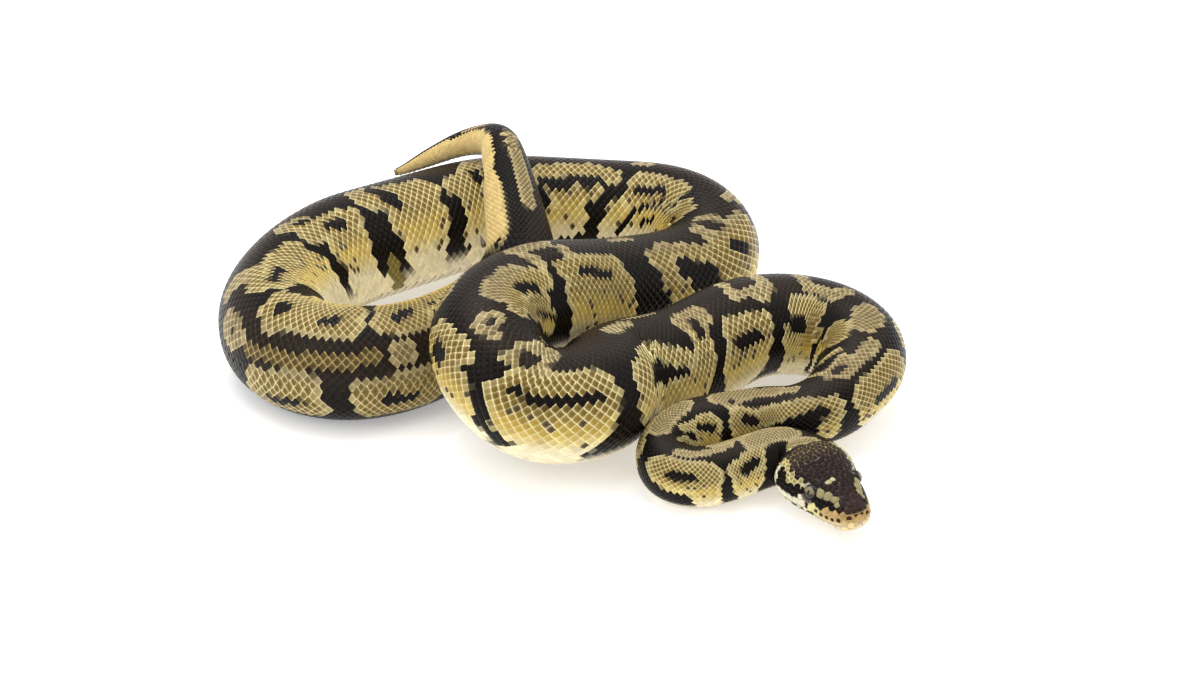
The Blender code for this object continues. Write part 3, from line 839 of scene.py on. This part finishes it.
def make_prototype():
    """The scale that the strips repeat: a rounded diamond with a skirt, a rim and a dome."""
    turns = np.arange(SCALE_CORNERS) * 2 * math.pi / SCALE_CORNERS
    circle = np.stack([np.cos(turns), np.sin(turns)], 1)
    outline = circle * (np.abs(circle) ** SCALE_DIAMOND).sum(1)[:, None] ** (-1 / SCALE_DIAMOND)
    lift = SCALE_TIP_LIFT * (1 + outline[:, 0])
    places = np.vstack([
        np.c_[outline * SKIRT_SHARE, np.full(SCALE_CORNERS, SKIRT_HEIGHT)],
        np.c_[outline, lift],
        np.c_[outline * DOME_SHARE, lift * 0.45 + DOME_HEIGHT],
        [[0, 0, TOP_HEIGHT]],
    ])
    skirt, edge, dome, top = (ring * SCALE_CORNERS for ring in range(4))
    sides = band(skirt, edge, SCALE_CORNERS) + band(edge, dome, SCALE_CORNERS)
    thing = new_thing("one_scale", places, sides + fan(dome, top, SCALE_CORNERS))
    rim = np.r_[np.ones(2 * SCALE_CORNERS), np.full(SCALE_CORNERS, DOME_RIM), 0]
    for name, values in (("rim", rim), ("patch_x", places[:, 0]), ("patch_y", places[:, 1])):
        add_layer(thing, name, "FLOAT", values)
    return thing


def strip_tree(prototype):
    """Sets a scale on each place, turned along the body, in its own length, width and thickness."""
    tree = bpy.data.node_groups.new("scale_strip", "GeometryNodeTree")
    kinds = {"Geometry": "Geometry", "Overlap": "Float", "Thickness": "Float", "Look": "Material"}
    for name, kind in kinds.items():
        tree.interface.new_socket(name, in_out="INPUT", socket_type="NodeSocket" + kind)
    tree.interface.new_socket("Geometry", in_out="OUTPUT", socket_type="NodeSocketGeometry")
    maths = Maths(tree)

    def given(name):
        return maths.node("NodeGroupInput", output=name)

    def each(name):
        return maths.node(
            "GeometryNodeInputNamedAttribute", {"data_type": "FLOAT_VECTOR"}, "Attribute", Name=name)

    scale = maths.node("GeometryNodeObjectInfo", output="Geometry", Object=prototype)
    axes = {"primary_axis": "Z", "secondary_axis": "X"}
    turn = maths.node("FunctionNodeAxesToRotation", axes, i0=each("out"), i1=each("along"))
    factors = maths.node("ShaderNodeCombineXYZ", X=given("Overlap"), Y=given("Overlap"), Z=given("Thickness"))
    sized = maths.node("ShaderNodeVectorMath", {"operation": "MULTIPLY"}, i0=each("size"), i1=factors)
    spread = maths.node(
        "GeometryNodeInstanceOnPoints", Points=given("Geometry"), Instance=scale, Rotation=turn, Scale=sized)
    real = maths.node("GeometryNodeRealizeInstances", Geometry=spread)
    done = maths.node("GeometryNodeSetMaterial", Geometry=real, Material=given("Look"))
    tree.links.new(done.socket, tree.nodes.new("NodeGroupOutput").inputs[0])
    return tree


def scale_places():
    """Distance, angle, row, and half width in degrees of every scale on the body, row by row."""
    fine = np.arange(BODY_START, BODY_LENGTH - BARE_TIP, COUNT_STEP)
    count = np.r_[0, np.cumsum(COUNT_STEP / pitch(fine[:-1]))]
    half_row = ROWS_SPAN / (ROWS_AROUND - 1)
    rows = []
    for row in range(ROWS_AROUND):
        at = np.interp(np.arange(0.5 * (row % 2), count[-1], 1.0), count, fine)
        if row % 2:
            at = at[at < TAIL_ROWS_FROM]
        on_tail = at > TAIL_ROWS_FROM
        if row % 4 == 2:
            at = np.where(on_tail, at + read(np.c_[fine, pitch(fine)], at) / 2, at)
        width = np.where(on_tail, 2.0, 1.0) * half_row
        angle = read(MIDLINE, at) - ROWS_SPAN / 2 + row * half_row
        rows.append((at, angle, np.full(len(at), row), width))
    return [np.concatenate(part) for part in zip(*rows)]


UNWRAP_BANDS = 5
UNWRAP_BAND = (BODY_LENGTH - BODY_START + 1) / UNWRAP_BANDS
UNWRAP_MARGIN = 0.01
UNWRAP_ROW = 0.011
BAND_GAP = 0.6  # in rows
BELLY_UNWRAP_LOW = 0.1
BELLY_UNWRAP_BAND = 0.18


def unwrap(at):
    """The body's length in five bands, one over another: how far across each place is, and its band."""
    bands = (at - BODY_START) / UNWRAP_BAND
    return UNWRAP_MARGIN + (1 - 2 * UNWRAP_MARGIN) * (bands % 1), np.floor(bands)


def make_strips():
    """The body's scales, in strips of a few long rows, each strip from the neck to the tail."""
    at, angle, row, width = scale_places()
    angle = (angle + 180) % 360 - 180
    place, along, out, stretch, per_degree = surface_frame(at, angle, skin_depth(at))
    middle, edge = markings(at, angle, SCALE_CHANCE)
    relaxed = pitch(at)
    length = relaxed * np.maximum(stretch, SMALLEST_SHARE)
    size = np.stack([length / 2, width * per_degree, np.sqrt(np.minimum(relaxed / THICK_AT, THICKEST))], -1)
    u, level = unwrap(at)
    v = UNWRAP_MARGIN + (level * (ROWS_IN_STRIP + BAND_GAP) + row % ROWS_IN_STRIP + 0.5) * UNWRAP_ROW
    prototype = make_prototype()
    tree = strip_tree(prototype)
    strips = []
    for strip in range(math.ceil(ROWS_AROUND / ROWS_IN_STRIP)):
        mine = (row // ROWS_IN_STRIP) == strip
        thing = new_thing(f"scale_strip_{strip + 1}", place[mine])
        for name, values in (("along", along), ("out", out), ("size", size)):
            add_layer(thing, name, "FLOAT_VECTOR", values[mine])
        for name, values in (("root_x", u), ("root_y", v)):
            add_layer(thing, name, "FLOAT", values[mine])
        add_paint(thing, "middle", middle[mine])
        add_paint(thing, "edge", edge[mine])
        strips.append(realize(thing, tree))
    bpy.data.objects.remove(prototype, do_unlink=True)
    return strips


def read_pair(mesh, name):
    """Two of a mesh's layers of numbers, side by side."""
    values = np.zeros((2, len(mesh.vertices)), np.float32)
    for part, row in zip("xy", values):
        mesh.attributes[f"{name}_{part}"].data.foreach_get("value", row)
    return values.T


def realize(thing, tree):
    """Runs the tree once and keeps its result as a plain mesh with its unwrap."""
    change = thing.modifiers.new("scales", "NODES")
    change.node_group = tree
    wanted = {"Overlap": SCALE_OVERLAP, "Thickness": SCALE_THICKNESS, "Look": SCALES}
    for socket in tree.interface.items_tree:
        if socket.in_out == "INPUT" and socket.name in wanted:
            change[socket.identifier] = wanted[socket.name]
    graph = bpy.context.evaluated_depsgraph_get()
    ready = thing.evaluated_get(graph)
    made = bpy.data.meshes.new_from_object(ready, preserve_all_data_layers=True, depsgraph=graph)
    thing.modifiers.remove(change)
    thing.data = made
    add_patches(thing, read_pair(made, "root"), read_pair(made, "patch"))
    for name in ("root_x", "root_y", "patch_x", "patch_y", "along", "out", "size"):
        if name in made.attributes:
            made.attributes.remove(made.attributes[name])
    places = np.zeros(len(made.vertices) * 3, np.float32)
    made.vertices.foreach_get("co", places)
    places[2::3] = np.maximum(places[2::3], 0)
    made.vertices.foreach_set("co", places)
    return thing


# -------- the belly's plates
SCUTE_PITCH = ((40, 2.82), (180, 4.7), (900, 3.76), (988, 1.645))
SCUTES_FROM = BODY_START + 4.0
SCUTES_TO = BODY_LENGTH - 2.0
SCUTE_SPAN = 74.0
SCUTE_ACROSS = 12
SCUTE_NARROWING = 0.75  # the share that the square of a plate's length loses at its sides
SCUTE_SIDE = 0.95  # past this share of a plate's half width it is rim
SCUTE_SHADE = 0.1  # how much darker than the belly's colour a plate may be
SCUTE_EDGE = 0.8  # the rim's colour, for each unit of the middle's
# The rows of each plate's places: how far along the plate, height over the skin, and whether it is rim.
SCUTE_ROWS = ((-0.1, -0.35, 1), (0.0, 0.05, 1), (0.5, 0.22, 0), (1.04, 0.34, 1), (1.06, -0.2, 1))


def make_belly():
    """The broad plates under the body, and the smaller ones under the tail, each over the next."""
    across = np.linspace(-1, 1, SCUTE_ACROSS)
    narrow = np.sqrt(1 - SCUTE_NARROWING * across ** 4)
    places, starts = [], [SCUTES_FROM]
    while starts[-1] < SCUTES_TO:
        at = starts[-1]
        length = read(SCUTE_PITCH, at)
        for share, height, _ in SCUTE_ROWS:
            here = at + share * length * narrow
            angle = read(MIDLINE, at) + 180 + across * SCUTE_SPAN / 2
            places.extend(surface(here, angle, skin_depth(here) - height))
        starts.append(at + length)
    starts.pop()
    each = len(SCUTE_ROWS) * SCUTE_ACROSS
    faces = grid_faces(len(SCUTE_ROWS), SCUTE_ACROSS, False) + each * np.arange(len(starts))[:, None, None]
    belly = add_mesh("belly_plates", places, faces.reshape(-1, 4).tolist(), SCALES)
    shade = BELLY * np.repeat(1 - SCUTE_SHADE * RANDOM.random(len(starts)), each)[:, None]
    rims = [np.maximum(rim, np.abs(across) > SCUTE_SIDE) for _, _, rim in SCUTE_ROWS]
    add_paint(belly, "middle", shade)
    add_paint(belly, "edge", shade * SCUTE_EDGE)
    add_layer(belly, "rim", "FLOAT", np.tile(np.concatenate(rims), len(starts)))
    u, level = unwrap(np.repeat(starts, each))
    patch = [(2 * share - 1, side) for share, _, _ in SCUTE_ROWS for side in across]
    roots = np.stack([u, BELLY_UNWRAP_LOW + BELLY_UNWRAP_BAND * level], -1)
    add_patches(belly, roots, np.tile(patch, (len(starts), 1)))
    return belly


# -------- the head's plates
PLATE_SIDES = 10
PLATE_HEIGHT = 0.24
PLATE_FULL_REACH = 0.8  # a plate of this reach has the full height, and a wider one more
PLATE_TALLEST = 1.3
PLATE_SKIRT = (0.985, -0.2)  # the hidden lower edge: share of the outline, height in millimetres
PLATE_EDGE = (0.97, 0.45)  # share of the outline, share of the plate's height
PLATE_MIDDLE = 1.15  # share of the plate's height
HOLLOW_MIDDLE = 0.1  # the same for a plate with a pit or a nostril
HOLLOW_SHADE_REACH = 0.6  # how far out the painted shade in that pit or nostril goes
LONGEST_REACH = 1.7  # how far a plate may stretch to meet the next, for each unit of its reach
NEAREST = 16  # how many neighbours a plate is fitted to, up to how far away
NEAR = 6
HEAD_PLATES = (0.3, 35.5)  # the small plates lie between these distances
# The upper lip's plates: distance from the tip and height. Those up to PITS_UP_TO have a heat pit.
UPPER_LIPS = (
    (2.9, 5.7), (5.1, 5.1), (7.4, 4.9), (9.7, 4.9), (12.1, 5.2), (14.6, 5.0), (18.4, 5.0), (21.0, 4.9),
    (23.6, 4.9), (26.3, 5.0), (29.0, 5.2),
)
PITS_UP_TO = 12.5
LOWER_LIPS_ALONG = (1.4, 3.4, 5.6, 8.0, 10.6, 13.2, 15.9, 18.7, 21.6, 24.5, 27.4)
UPPER_LIP_REACH = 1.45
LOWER_LIP_REACH = 1.2
LIP_GAP = ((0, 0.12), (12, 0.14), (17, 0.32), (28, 0.36))  # half of the groove between the lips
LIPS_ABOVE = ("pit", "lip", "rostral")
LIPS_BELOW = ("lip_below", "mental")
HOLLOWS = ("pit", "nostril")
EYE_RING = 18
EYE_RING_RADIUS = 3.05
EYE_RING_REACH = 0.45
EYE_RING_LEAN = 0.35  # how far outwards the ring's plates are looked for
EYE_CLEAR = 0.35  # between the ring and the small plates around it
TRIES = 60000  # random places that are offered to the small plates
CROWDING = 0.93  # how close the small plates may come, for each unit of their reaches
CHIN_GRANULE = 0.95  # half the width of the small plates on the chin
GRANULES = ((8, 0.9), (26, 0.78), (40, 0.68))  # and elsewhere, up to each distance from the tip
HEAD_MIDDLE = 8.0
HEAD_UNWRAP = 40  # length of head that the unwrap holds
HEAD_UNWRAP_LOW = 0.02
HEAD_UNWRAP_SPAN = 0.94

# The named plates, one on each side: distance from the tip, from the middle, height, reach, kind.
NAMED_PLATES = (
    (4.4, 5.5, 9.3, 1.0, "nostril"), (2.2, 3.6, 9.7, 1.2, "plain"), (1.6, 1.2, 9.6, 1.15, "plain"),
    (3.9, 1.5, 11.0, 1.45, "plain"), (6.8, 1.6, 12.0, 1.5, "plain"), (5.6, 3.9, 11.2, 1.2, "plain"),
    (9.6, 1.8, 12.8, 1.4, "plain"), (16.6, 6.2, 14.2, 1.6, "brow"), (13.2, 8.2, 12.1, 1.6, "canthus"),
    (10.7, 6.5, 12.0, 1.65, "canthus"), (8.3, 5.3, 11.4, 1.3, "canthus"), (16.4, 12.0, 6.4, 0.55, "mark"),
    (16.5, 12.0, 5.4, 0.5, "mark"), (1.1, 3.9, 7.2, 1.3, "pit"), (0.5, 1.2, 8.0, 0.7, "pit"),
    (6.3, 5.2, 10.4, 0.9, "canthus"),
)
# The two plates in the lips' middle: kind, height over the parting, reach.
MIDDLE_LIPS = (("rostral", 1.7, 1.6), ("mental", -1.4, 1.1))
# How wide the flat top of each kind of plate is, as a share of the plate.
TOP_SHARES = {"pit": 0.5, "granule": 0.9}
TOP_SHARE = 0.8
STRIPE_TOP_SHARE = 0.55

PLATE_TURNS = (np.arange(PLATE_SIDES) + 0.5) * 2 * math.pi / PLATE_SIDES
CIRCLE = np.stack([np.cos(PLATE_TURNS), np.sin(PLATE_TURNS)], 1)


def granule_reaches(places):
    """Half the width of the small plates at places on the head: finest at the nape."""
    along, high = places[:, 0], places[:, 2]
    reaches = np.select([along < end for end, _ in GRANULES], [reach for _, reach in GRANULES])
    return np.where(high < read(MOUTH, along) + 0.5, CHIN_GRANULE, reaches)


def head_seeds(skull):
    """Place, reach, kind and way out of all plates: first the named ones, then the granules between them."""
    seeds = []

    def add(place, reach, kind="granule"):
        spot, out, _, _ = skull.find_nearest(Vector(place))
        seeds.append((np.array(spot), reach, kind, np.array(out)))

    for kind, high, reach in MIDDLE_LIPS:
        add((-0.5, 0, read(MOUTH, 0) + high), reach, kind)
    for side in (1, -1):
        for along, high in UPPER_LIPS:
            kind = "pit" if along < PITS_UP_TO else "lip"
            wide = read(HEAD_WIDTH, along) + 1
            add((along, side * wide, high + HEAD_NOD * along), UPPER_LIP_REACH, kind)
        for along in LOWER_LIPS_ALONG:
            below = mouth_line(along) - LOWER_LIP_REACH
            add((along, side * read(HEAD_WIDTH, along), below), LOWER_LIP_REACH, "lip_below")
        for along, across, high, reach, kind in NAMED_PLATES:
            add((along, side * across, high), reach, kind)
        for turn in np.arange(EYE_RING) * 2 * math.pi / EYE_RING:
            lean = np.array((math.cos(turn), side * EYE_RING_LEAN, math.sin(turn)))
            add(eye_centre(side) + lean * EYE_RING_RADIUS, EYE_RING_REACH, "eye_ring")
    along = RANDOM.uniform(*HEAD_PLATES, TRIES)
    angle = RANDOM.uniform(-180, 180, TRIES)
    on_neck = moved(surface(along, angle, skin_depth(along)), HEAD_FRAME.inverted())
    on_head = head_point(along, angle, SKIN_DEPTH_HEAD)
    places = np.where((along > NECK_JOIN[0])[:, None], on_neck, on_head)
    eyes = np.array([eye_centre(1), eye_centre(-1)])
    from_eye = np.linalg.norm(eyes[:, None] - places, axis=2).min(0)
    places = places[from_eye >= EYE_RING_RADIUS + EYE_CLEAR]
    kept = np.array([seed[0] for seed in seeds])
    reaches = np.array([seed[1] for seed in seeds])
    for place, reach in zip(places, granule_reaches(places)):
        if (np.linalg.norm(kept - place, axis=1) >= (reaches + reach) * CROWDING).all():
            kept = np.vstack([kept, place])
            reaches = np.r_[reaches, reach]
            add(place, reach)
    return seeds


def neighbours(seeds, centres, number):
    """Places and reaches round a plate, and beside a lip the parting as a neighbour at a fixed distance."""
    place, _, kind, _ = seeds[number]
    apart = np.linalg.norm(centres - place, axis=1)
    near = [(centres[i], seeds[i][1], None) for i in np.argsort(apart)[1:NEAREST + 1] if apart[i] < NEAR]
    if kind in LIPS_ABOVE + LIPS_BELOW:
        gap = read(LIP_GAP, place[0]) * (1 if kind in LIPS_ABOVE else -1)
        rise = mouth_line(max(place[0], 0)) + gap - place[2]
        drop = max(abs(rise), 0.2)
        near.append((place + np.array((0, 0, rise / drop)), 1, drop))
    return near


def cell_outline(seed, near):
    """How far a plate reaches each way before it meets a neighbour, in its own plane."""
    place, reach, _, out = seed
    first = np.cross(out, (0, 0, 1.0) if abs(out[2]) < 0.9 else (1.0, 0, 0))
    first /= np.linalg.norm(first)
    second = np.cross(out, first)
    ways = CIRCLE[:, :1] * first + CIRCLE[:, 1:] * second
    reaches = np.full(PLATE_SIDES, reach * LONGEST_REACH)
    for other, other_reach, limit in near:
        gap = other - place
        distance = np.linalg.norm(gap)
        share = 0.5 + (reach ** 2 - other_reach ** 2) / (2 * distance ** 2) if limit is None else limit
        lean = ways @ (gap / distance)
        hits = lean > 0.05
        reaches[hits] = np.minimum(reaches[hits], np.clip(share, 0.2, 0.8) * distance / lean[hits])
    return ways * reaches[:, None]


def eye_ring_look(place):
    """The colour of a small plate beside the eye, by its turn from the eye's back over its top."""
    turn = math.degrees(math.atan2(place[2] - EYE_HIGH, place[0] - EYE_ALONG)) % 360
    if 30 < turn < 105:
        return LID_PALE
    if 105 <= turn < 165:
        return CANTHUS
    if 225 < turn < 320:
        return LID_DIM
    return BLACK


def plate_looks(seeds):
    """The middle's and the rim's colour of every plate."""
    middle, edge = head_colors(np.array([seed[0] for seed in seeds]))
    looks = {"brow": CROWN * 1.4, "canthus": CANTHUS, "mark": BLACK}
    for number, (place, _, kind, _) in enumerate(seeds):
        look = eye_ring_look(place) if kind == "eye_ring" else looks.get(kind)
        if look is not None:
            middle[number], edge[number] = look, look * 1.35
    shade = 1 + RANDOM.normal(0, 0.06, len(seeds))[:, None]
    return middle * shade, edge * shade


def make_head_plates(skull):
    """The plates of the head: each one domed, parted from its neighbours by a thin groove."""
    seeds = head_seeds(skull)
    centres = np.array([seed[0] for seed in seeds])
    hollow = np.array([seed[2] in HOLLOWS for seed in seeds])
    striped = on_stripe(centres)
    places, faces, patches = [], [], []
    for number, seed in enumerate(seeds):
        place, reach, kind, out = seed
        outline = cell_outline(seed, neighbours(seeds, centres, number))
        height = PLATE_HEIGHT * min(reach / PLATE_FULL_REACH, PLATE_TALLEST)
        top_share = STRIPE_TOP_SHARE if striped[number] else TOP_SHARES.get(kind, TOP_SHARE)
        skirt, edge, top, tip = (len(places) + ring * PLATE_SIDES for ring in range(4))
        for share, lift in (PLATE_SKIRT, (PLATE_EDGE[0], height * PLATE_EDGE[1]), (top_share, height)):
            for corner in outline:
                spot, normal, _, _ = skull.find_nearest(Vector(place + corner * share))
                places.append(np.array(spot + normal * lift))
            patches.extend(CIRCLE * share)
        places.append(place + out * height * (HOLLOW_MIDDLE if hollow[number] else PLATE_MIDDLE))
        patches.append(np.zeros(2))
        faces += band(skirt, edge, PLATE_SIDES) + band(edge, top, PLATE_SIDES) + fan(top, tip, PLATE_SIDES)
    plates = add_mesh("head_plates", moved(np.array(places), HEAD_FRAME), faces, SCALES)
    patches = np.array(patches)
    owner = np.repeat(np.arange(len(seeds)), 3 * PLATE_SIDES + 1)
    middle, edge = (colors[owner] for colors in plate_looks(seeds))
    # Painted shade: the middle of each pit and nostril is darkened where its hollow lies.
    middle[hollow[owner] & (np.hypot(*patches.T) < HOLLOW_SHADE_REACH)] = PIT_SHADE
    add_paint(plates, "middle", middle)
    add_paint(plates, "edge", edge)
    rim = np.r_[np.ones(2 * PLATE_SIDES), np.zeros(PLATE_SIDES + 1)]
    add_layer(plates, "rim", "FLOAT", np.tile(rim, len(seeds)))
    around = np.degrees(np.arctan2(centres[:, 1], centres[:, 2] - HEAD_MIDDLE))
    u = HEAD_UNWRAP_LOW + HEAD_UNWRAP_SPAN * np.clip(centres[:, 0] / HEAD_UNWRAP, 0, 1)
    roots = np.stack([u, 0.5 + around / 360 * HEAD_UNWRAP_SPAN], -1)
    add_patches(plates, roots[owner], patches)
    return plates


SKULL_TO = 44
SKULL_MIDDLE = Vector((16, 0, 8))
SKULL_REACH = 42


def make_skull(skin):
    """A tree of the skin's own faces near the head, in the head's frame, for laying plates on."""
    back = HEAD_FRAME.inverted() @ Matrix.Scale(1 / MM, 4)
    places = [back @ v.co for v in skin.data.vertices]
    near = [list(f.vertices) for f in skin.data.polygons if places[f.vertices[0]].x < SKULL_TO]
    near = [f for f in near if all((places[i] - SKULL_MIDDLE).length < SKULL_REACH for i in f)]
    return BVHTree.FromPolygons(places, near)


# -------- eyes and claws
EYE_SEGMENTS = 48
EYE_RINGS = 32
IRIS_LIGHT = paint(140, 126, 98)
IRIS_DARK = paint(42, 33, 31)
IRIS_BLEND = (-0.3, 0.4)  # heights in the eye between which the dark turns into the light
IRIS_RAYS = 9
RAY_CONTRAST = 0.12
IRIS_REACH = 2.1
PUPIL = paint(6, 5, 6)
EYE_BLACK = paint(16, 13, 13)
PUPIL_WIDE = 0.42
PUPIL_HIGH = 1.2
GAZE = (-0.4, 1.0, 0.3)  # backward, outward and up: the eyes look a little ahead


def make_eye(name, side):
    """One eye as a glossy ball: a dark ring, an iris pale above and dark below, an upright pupil."""
    turns = np.arange(EYE_SEGMENTS) * 2 * math.pi / EYE_SEGMENTS
    falls = np.linspace(0, math.pi, EYE_RINGS)[1:-1]
    ring = [(math.sin(f) * math.cos(t), math.sin(f) * math.sin(t), math.cos(f)) for f in falls for t in turns]
    ball = np.array(ring + [(0, 0, 1), (0, 0, -1)]) * EYE_RADIUS
    gaze = Vector((GAZE[0], side * GAZE[1], GAZE[2])).normalized()
    ball = ball @ np.array(gaze.to_track_quat("Z", "Y").to_matrix()).T
    ahead = ball @ np.array(gaze)
    around = np.linalg.norm(ball - np.outer(ahead, gaze), axis=1)
    sideways = ball[:, 0] - EYE_RADIUS * gaze.x
    raised = ball[:, 2] - EYE_RADIUS * gaze.z
    colors = mix(IRIS_DARK, IRIS_LIGHT, passed(raised, IRIS_BLEND))
    colors *= 1 + RAY_CONTRAST * np.sin(IRIS_RAYS * np.arctan2(raised, sideways))[:, None]
    pupil = (sideways / PUPIL_WIDE) ** 2 + (raised / PUPIL_HIGH) ** 2 < 1
    colors[pupil & (ahead > 0)] = PUPIL
    colors[(around > IRIS_REACH) | (ahead < 0)] = EYE_BLACK
    faces = tube_faces(len(falls), EYE_SEGMENTS)
    eye = add_mesh(name, moved(ball + eye_centre(side), HEAD_FRAME), faces, EYE)
    add_paint(eye, "paint", colors)
    return eye


CLAW_SIDES = 16
CLAW_RINGS = 10
CLAW_TAPER = 1.6
CLAW_TIP = 0.1  # half the width of the tip
CLAW_SNUG = 0.96  # width of the root, for each unit of its solid's


def make_claw(name):
    """A small claw that fills its solid's box, thick at the root and pointed at the tip."""
    vertices = np.array([v.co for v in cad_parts[name].data.vertices]) / MM
    centre = vertices.mean(0)
    _, _, ways = np.linalg.svd(vertices - centre)
    axis = ways[0]
    along = (vertices - centre) @ axis
    across = np.linalg.norm(vertices - centre - np.outer(along, axis), axis=1)
    if across[along > 0].max() > across[along < 0].max():
        axis, along = -axis, -along
    root, tip = centre + axis * along.min(), centre + axis * along.max()
    share = np.linspace(0, 1, CLAW_RINGS)
    radius = across.max() * CLAW_SNUG * (1 - share ** CLAW_TAPER) + CLAW_TIP
    turns = np.arange(CLAW_SIDES)[:, None] * 2 * math.pi / CLAW_SIDES
    circle = np.cos(turns) * ways[1] + np.sin(turns) * np.cross(ways[1], axis)
    places = np.concatenate([root + (tip - root) * s + circle * r for s, r in zip(share, radius)])
    faces = grid_faces(CLAW_RINGS, CLAW_SIDES, True).tolist()
    last = (CLAW_RINGS - 1) * CLAW_SIDES
    faces += [tuple(range(CLAW_SIDES)), tuple(last + j for j in range(CLAW_SIDES))[::-1]]
    return add_mesh(name + "_claw", places, faces, CLAW)


# -------- floor, light and camera
VIEW_TARGET = Vector((0.0151, 0.03183, 0.0))
VIEW_DISTANCE = 1.2308
VIEW_HEIGHT = math.radians(31)
LENS = 96.0
SENSOR = 36
FLOOR_HALF = 3000.0
FLOOR_PALE = (0.93, 0.93, 0.93)
FLOOR_GLOW = 0.3  # the faint glow of the table keeps its shadows pale
SKY = 0.8
# name, place, size, power
LIGHTS = (
    ("overhead", (-0.15, 0.25, 1.3), 1.2, 11.5),
    ("front_left", (-0.9, -0.7, 1.1), 0.7, 4.0),
    ("right", (1.0, 0.1, 1.0), 0.7, 2.4),
    ("glint", (-0.2, 0.5, 1.2), 0.12, 2.2),
)


def make_stage():
    floor_look, shader, _ = new_material("pale_floor", FLOOR_PALE, specular=0.2)
    shader.inputs["Roughness"].default_value = 0.6
    shader.inputs["Emission Color"].default_value = (1, 1, 1, 1)
    shader.inputs["Emission Strength"].default_value = FLOOR_GLOW
    corners = np.array([(-1, -1, 0), (1, -1, 0), (1, 1, 0), (-1, 1, 0)]) * FLOOR_HALF
    floor = add_mesh("floor", corners, [(0, 1, 2, 3)], floor_look)


def make_light():
    world = bpy.data.worlds.new("studio")
    world.use_nodes = True
    sky = world.node_tree.nodes["Background"]
    sky.inputs["Color"].default_value = (1, 1, 1, 1)
    sky.inputs["Strength"].default_value = SKY
    bpy.context.scene.world = world
    bpy.context.scene.view_settings.view_transform = "Standard"
    for name, place, size, power in LIGHTS:
        light = bpy.data.lights.new(name, "AREA")
        light.shape = "SQUARE"
        light.size = size
        light.energy = power
        lamp = bpy.data.objects.new(name, light)
        lamp.location = place
        lamp.rotation_euler = (VIEW_TARGET - Vector(place)).to_track_quat("-Z", "Y").to_euler()
        bpy.context.scene.collection.objects.link(lamp)


def make_camera():
    lens = bpy.data.cameras.new("camera")
    lens.lens = LENS
    lens.sensor_width = SENSOR
    camera = bpy.data.objects.new("camera", lens)
    back = Vector((0, -math.cos(VIEW_HEIGHT), math.sin(VIEW_HEIGHT)))
    camera.location = VIEW_TARGET + back * VIEW_DISTANCE
    camera.rotation_euler = (math.pi / 2 - VIEW_HEIGHT, 0, 0)
    bpy.context.scene.collection.objects.link(camera)
    bpy.context.scene.camera = camera


# -------- putting it together
def main():
    skin = make_skin()
    skull = make_skull(skin)
    coat = make_strips() + [make_belly(), make_head_plates(skull)]
    for piece in [skin] + coat:
        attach(piece, "root")
    flesh_nodes = [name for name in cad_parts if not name.startswith(("eye", "spur"))]
    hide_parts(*flesh_nodes)
    for name, side in (("eye_right", 1), ("eye_left", -1)):
        eye = make_eye(name + "_ball", side)
        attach(eye, "root")
        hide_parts(name)
    for name in ("spur_left", "spur_right"):
        claw = make_claw(name)
        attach(claw, "root")
        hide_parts(name)
    make_stage()
    make_light()
    make_camera()


main()
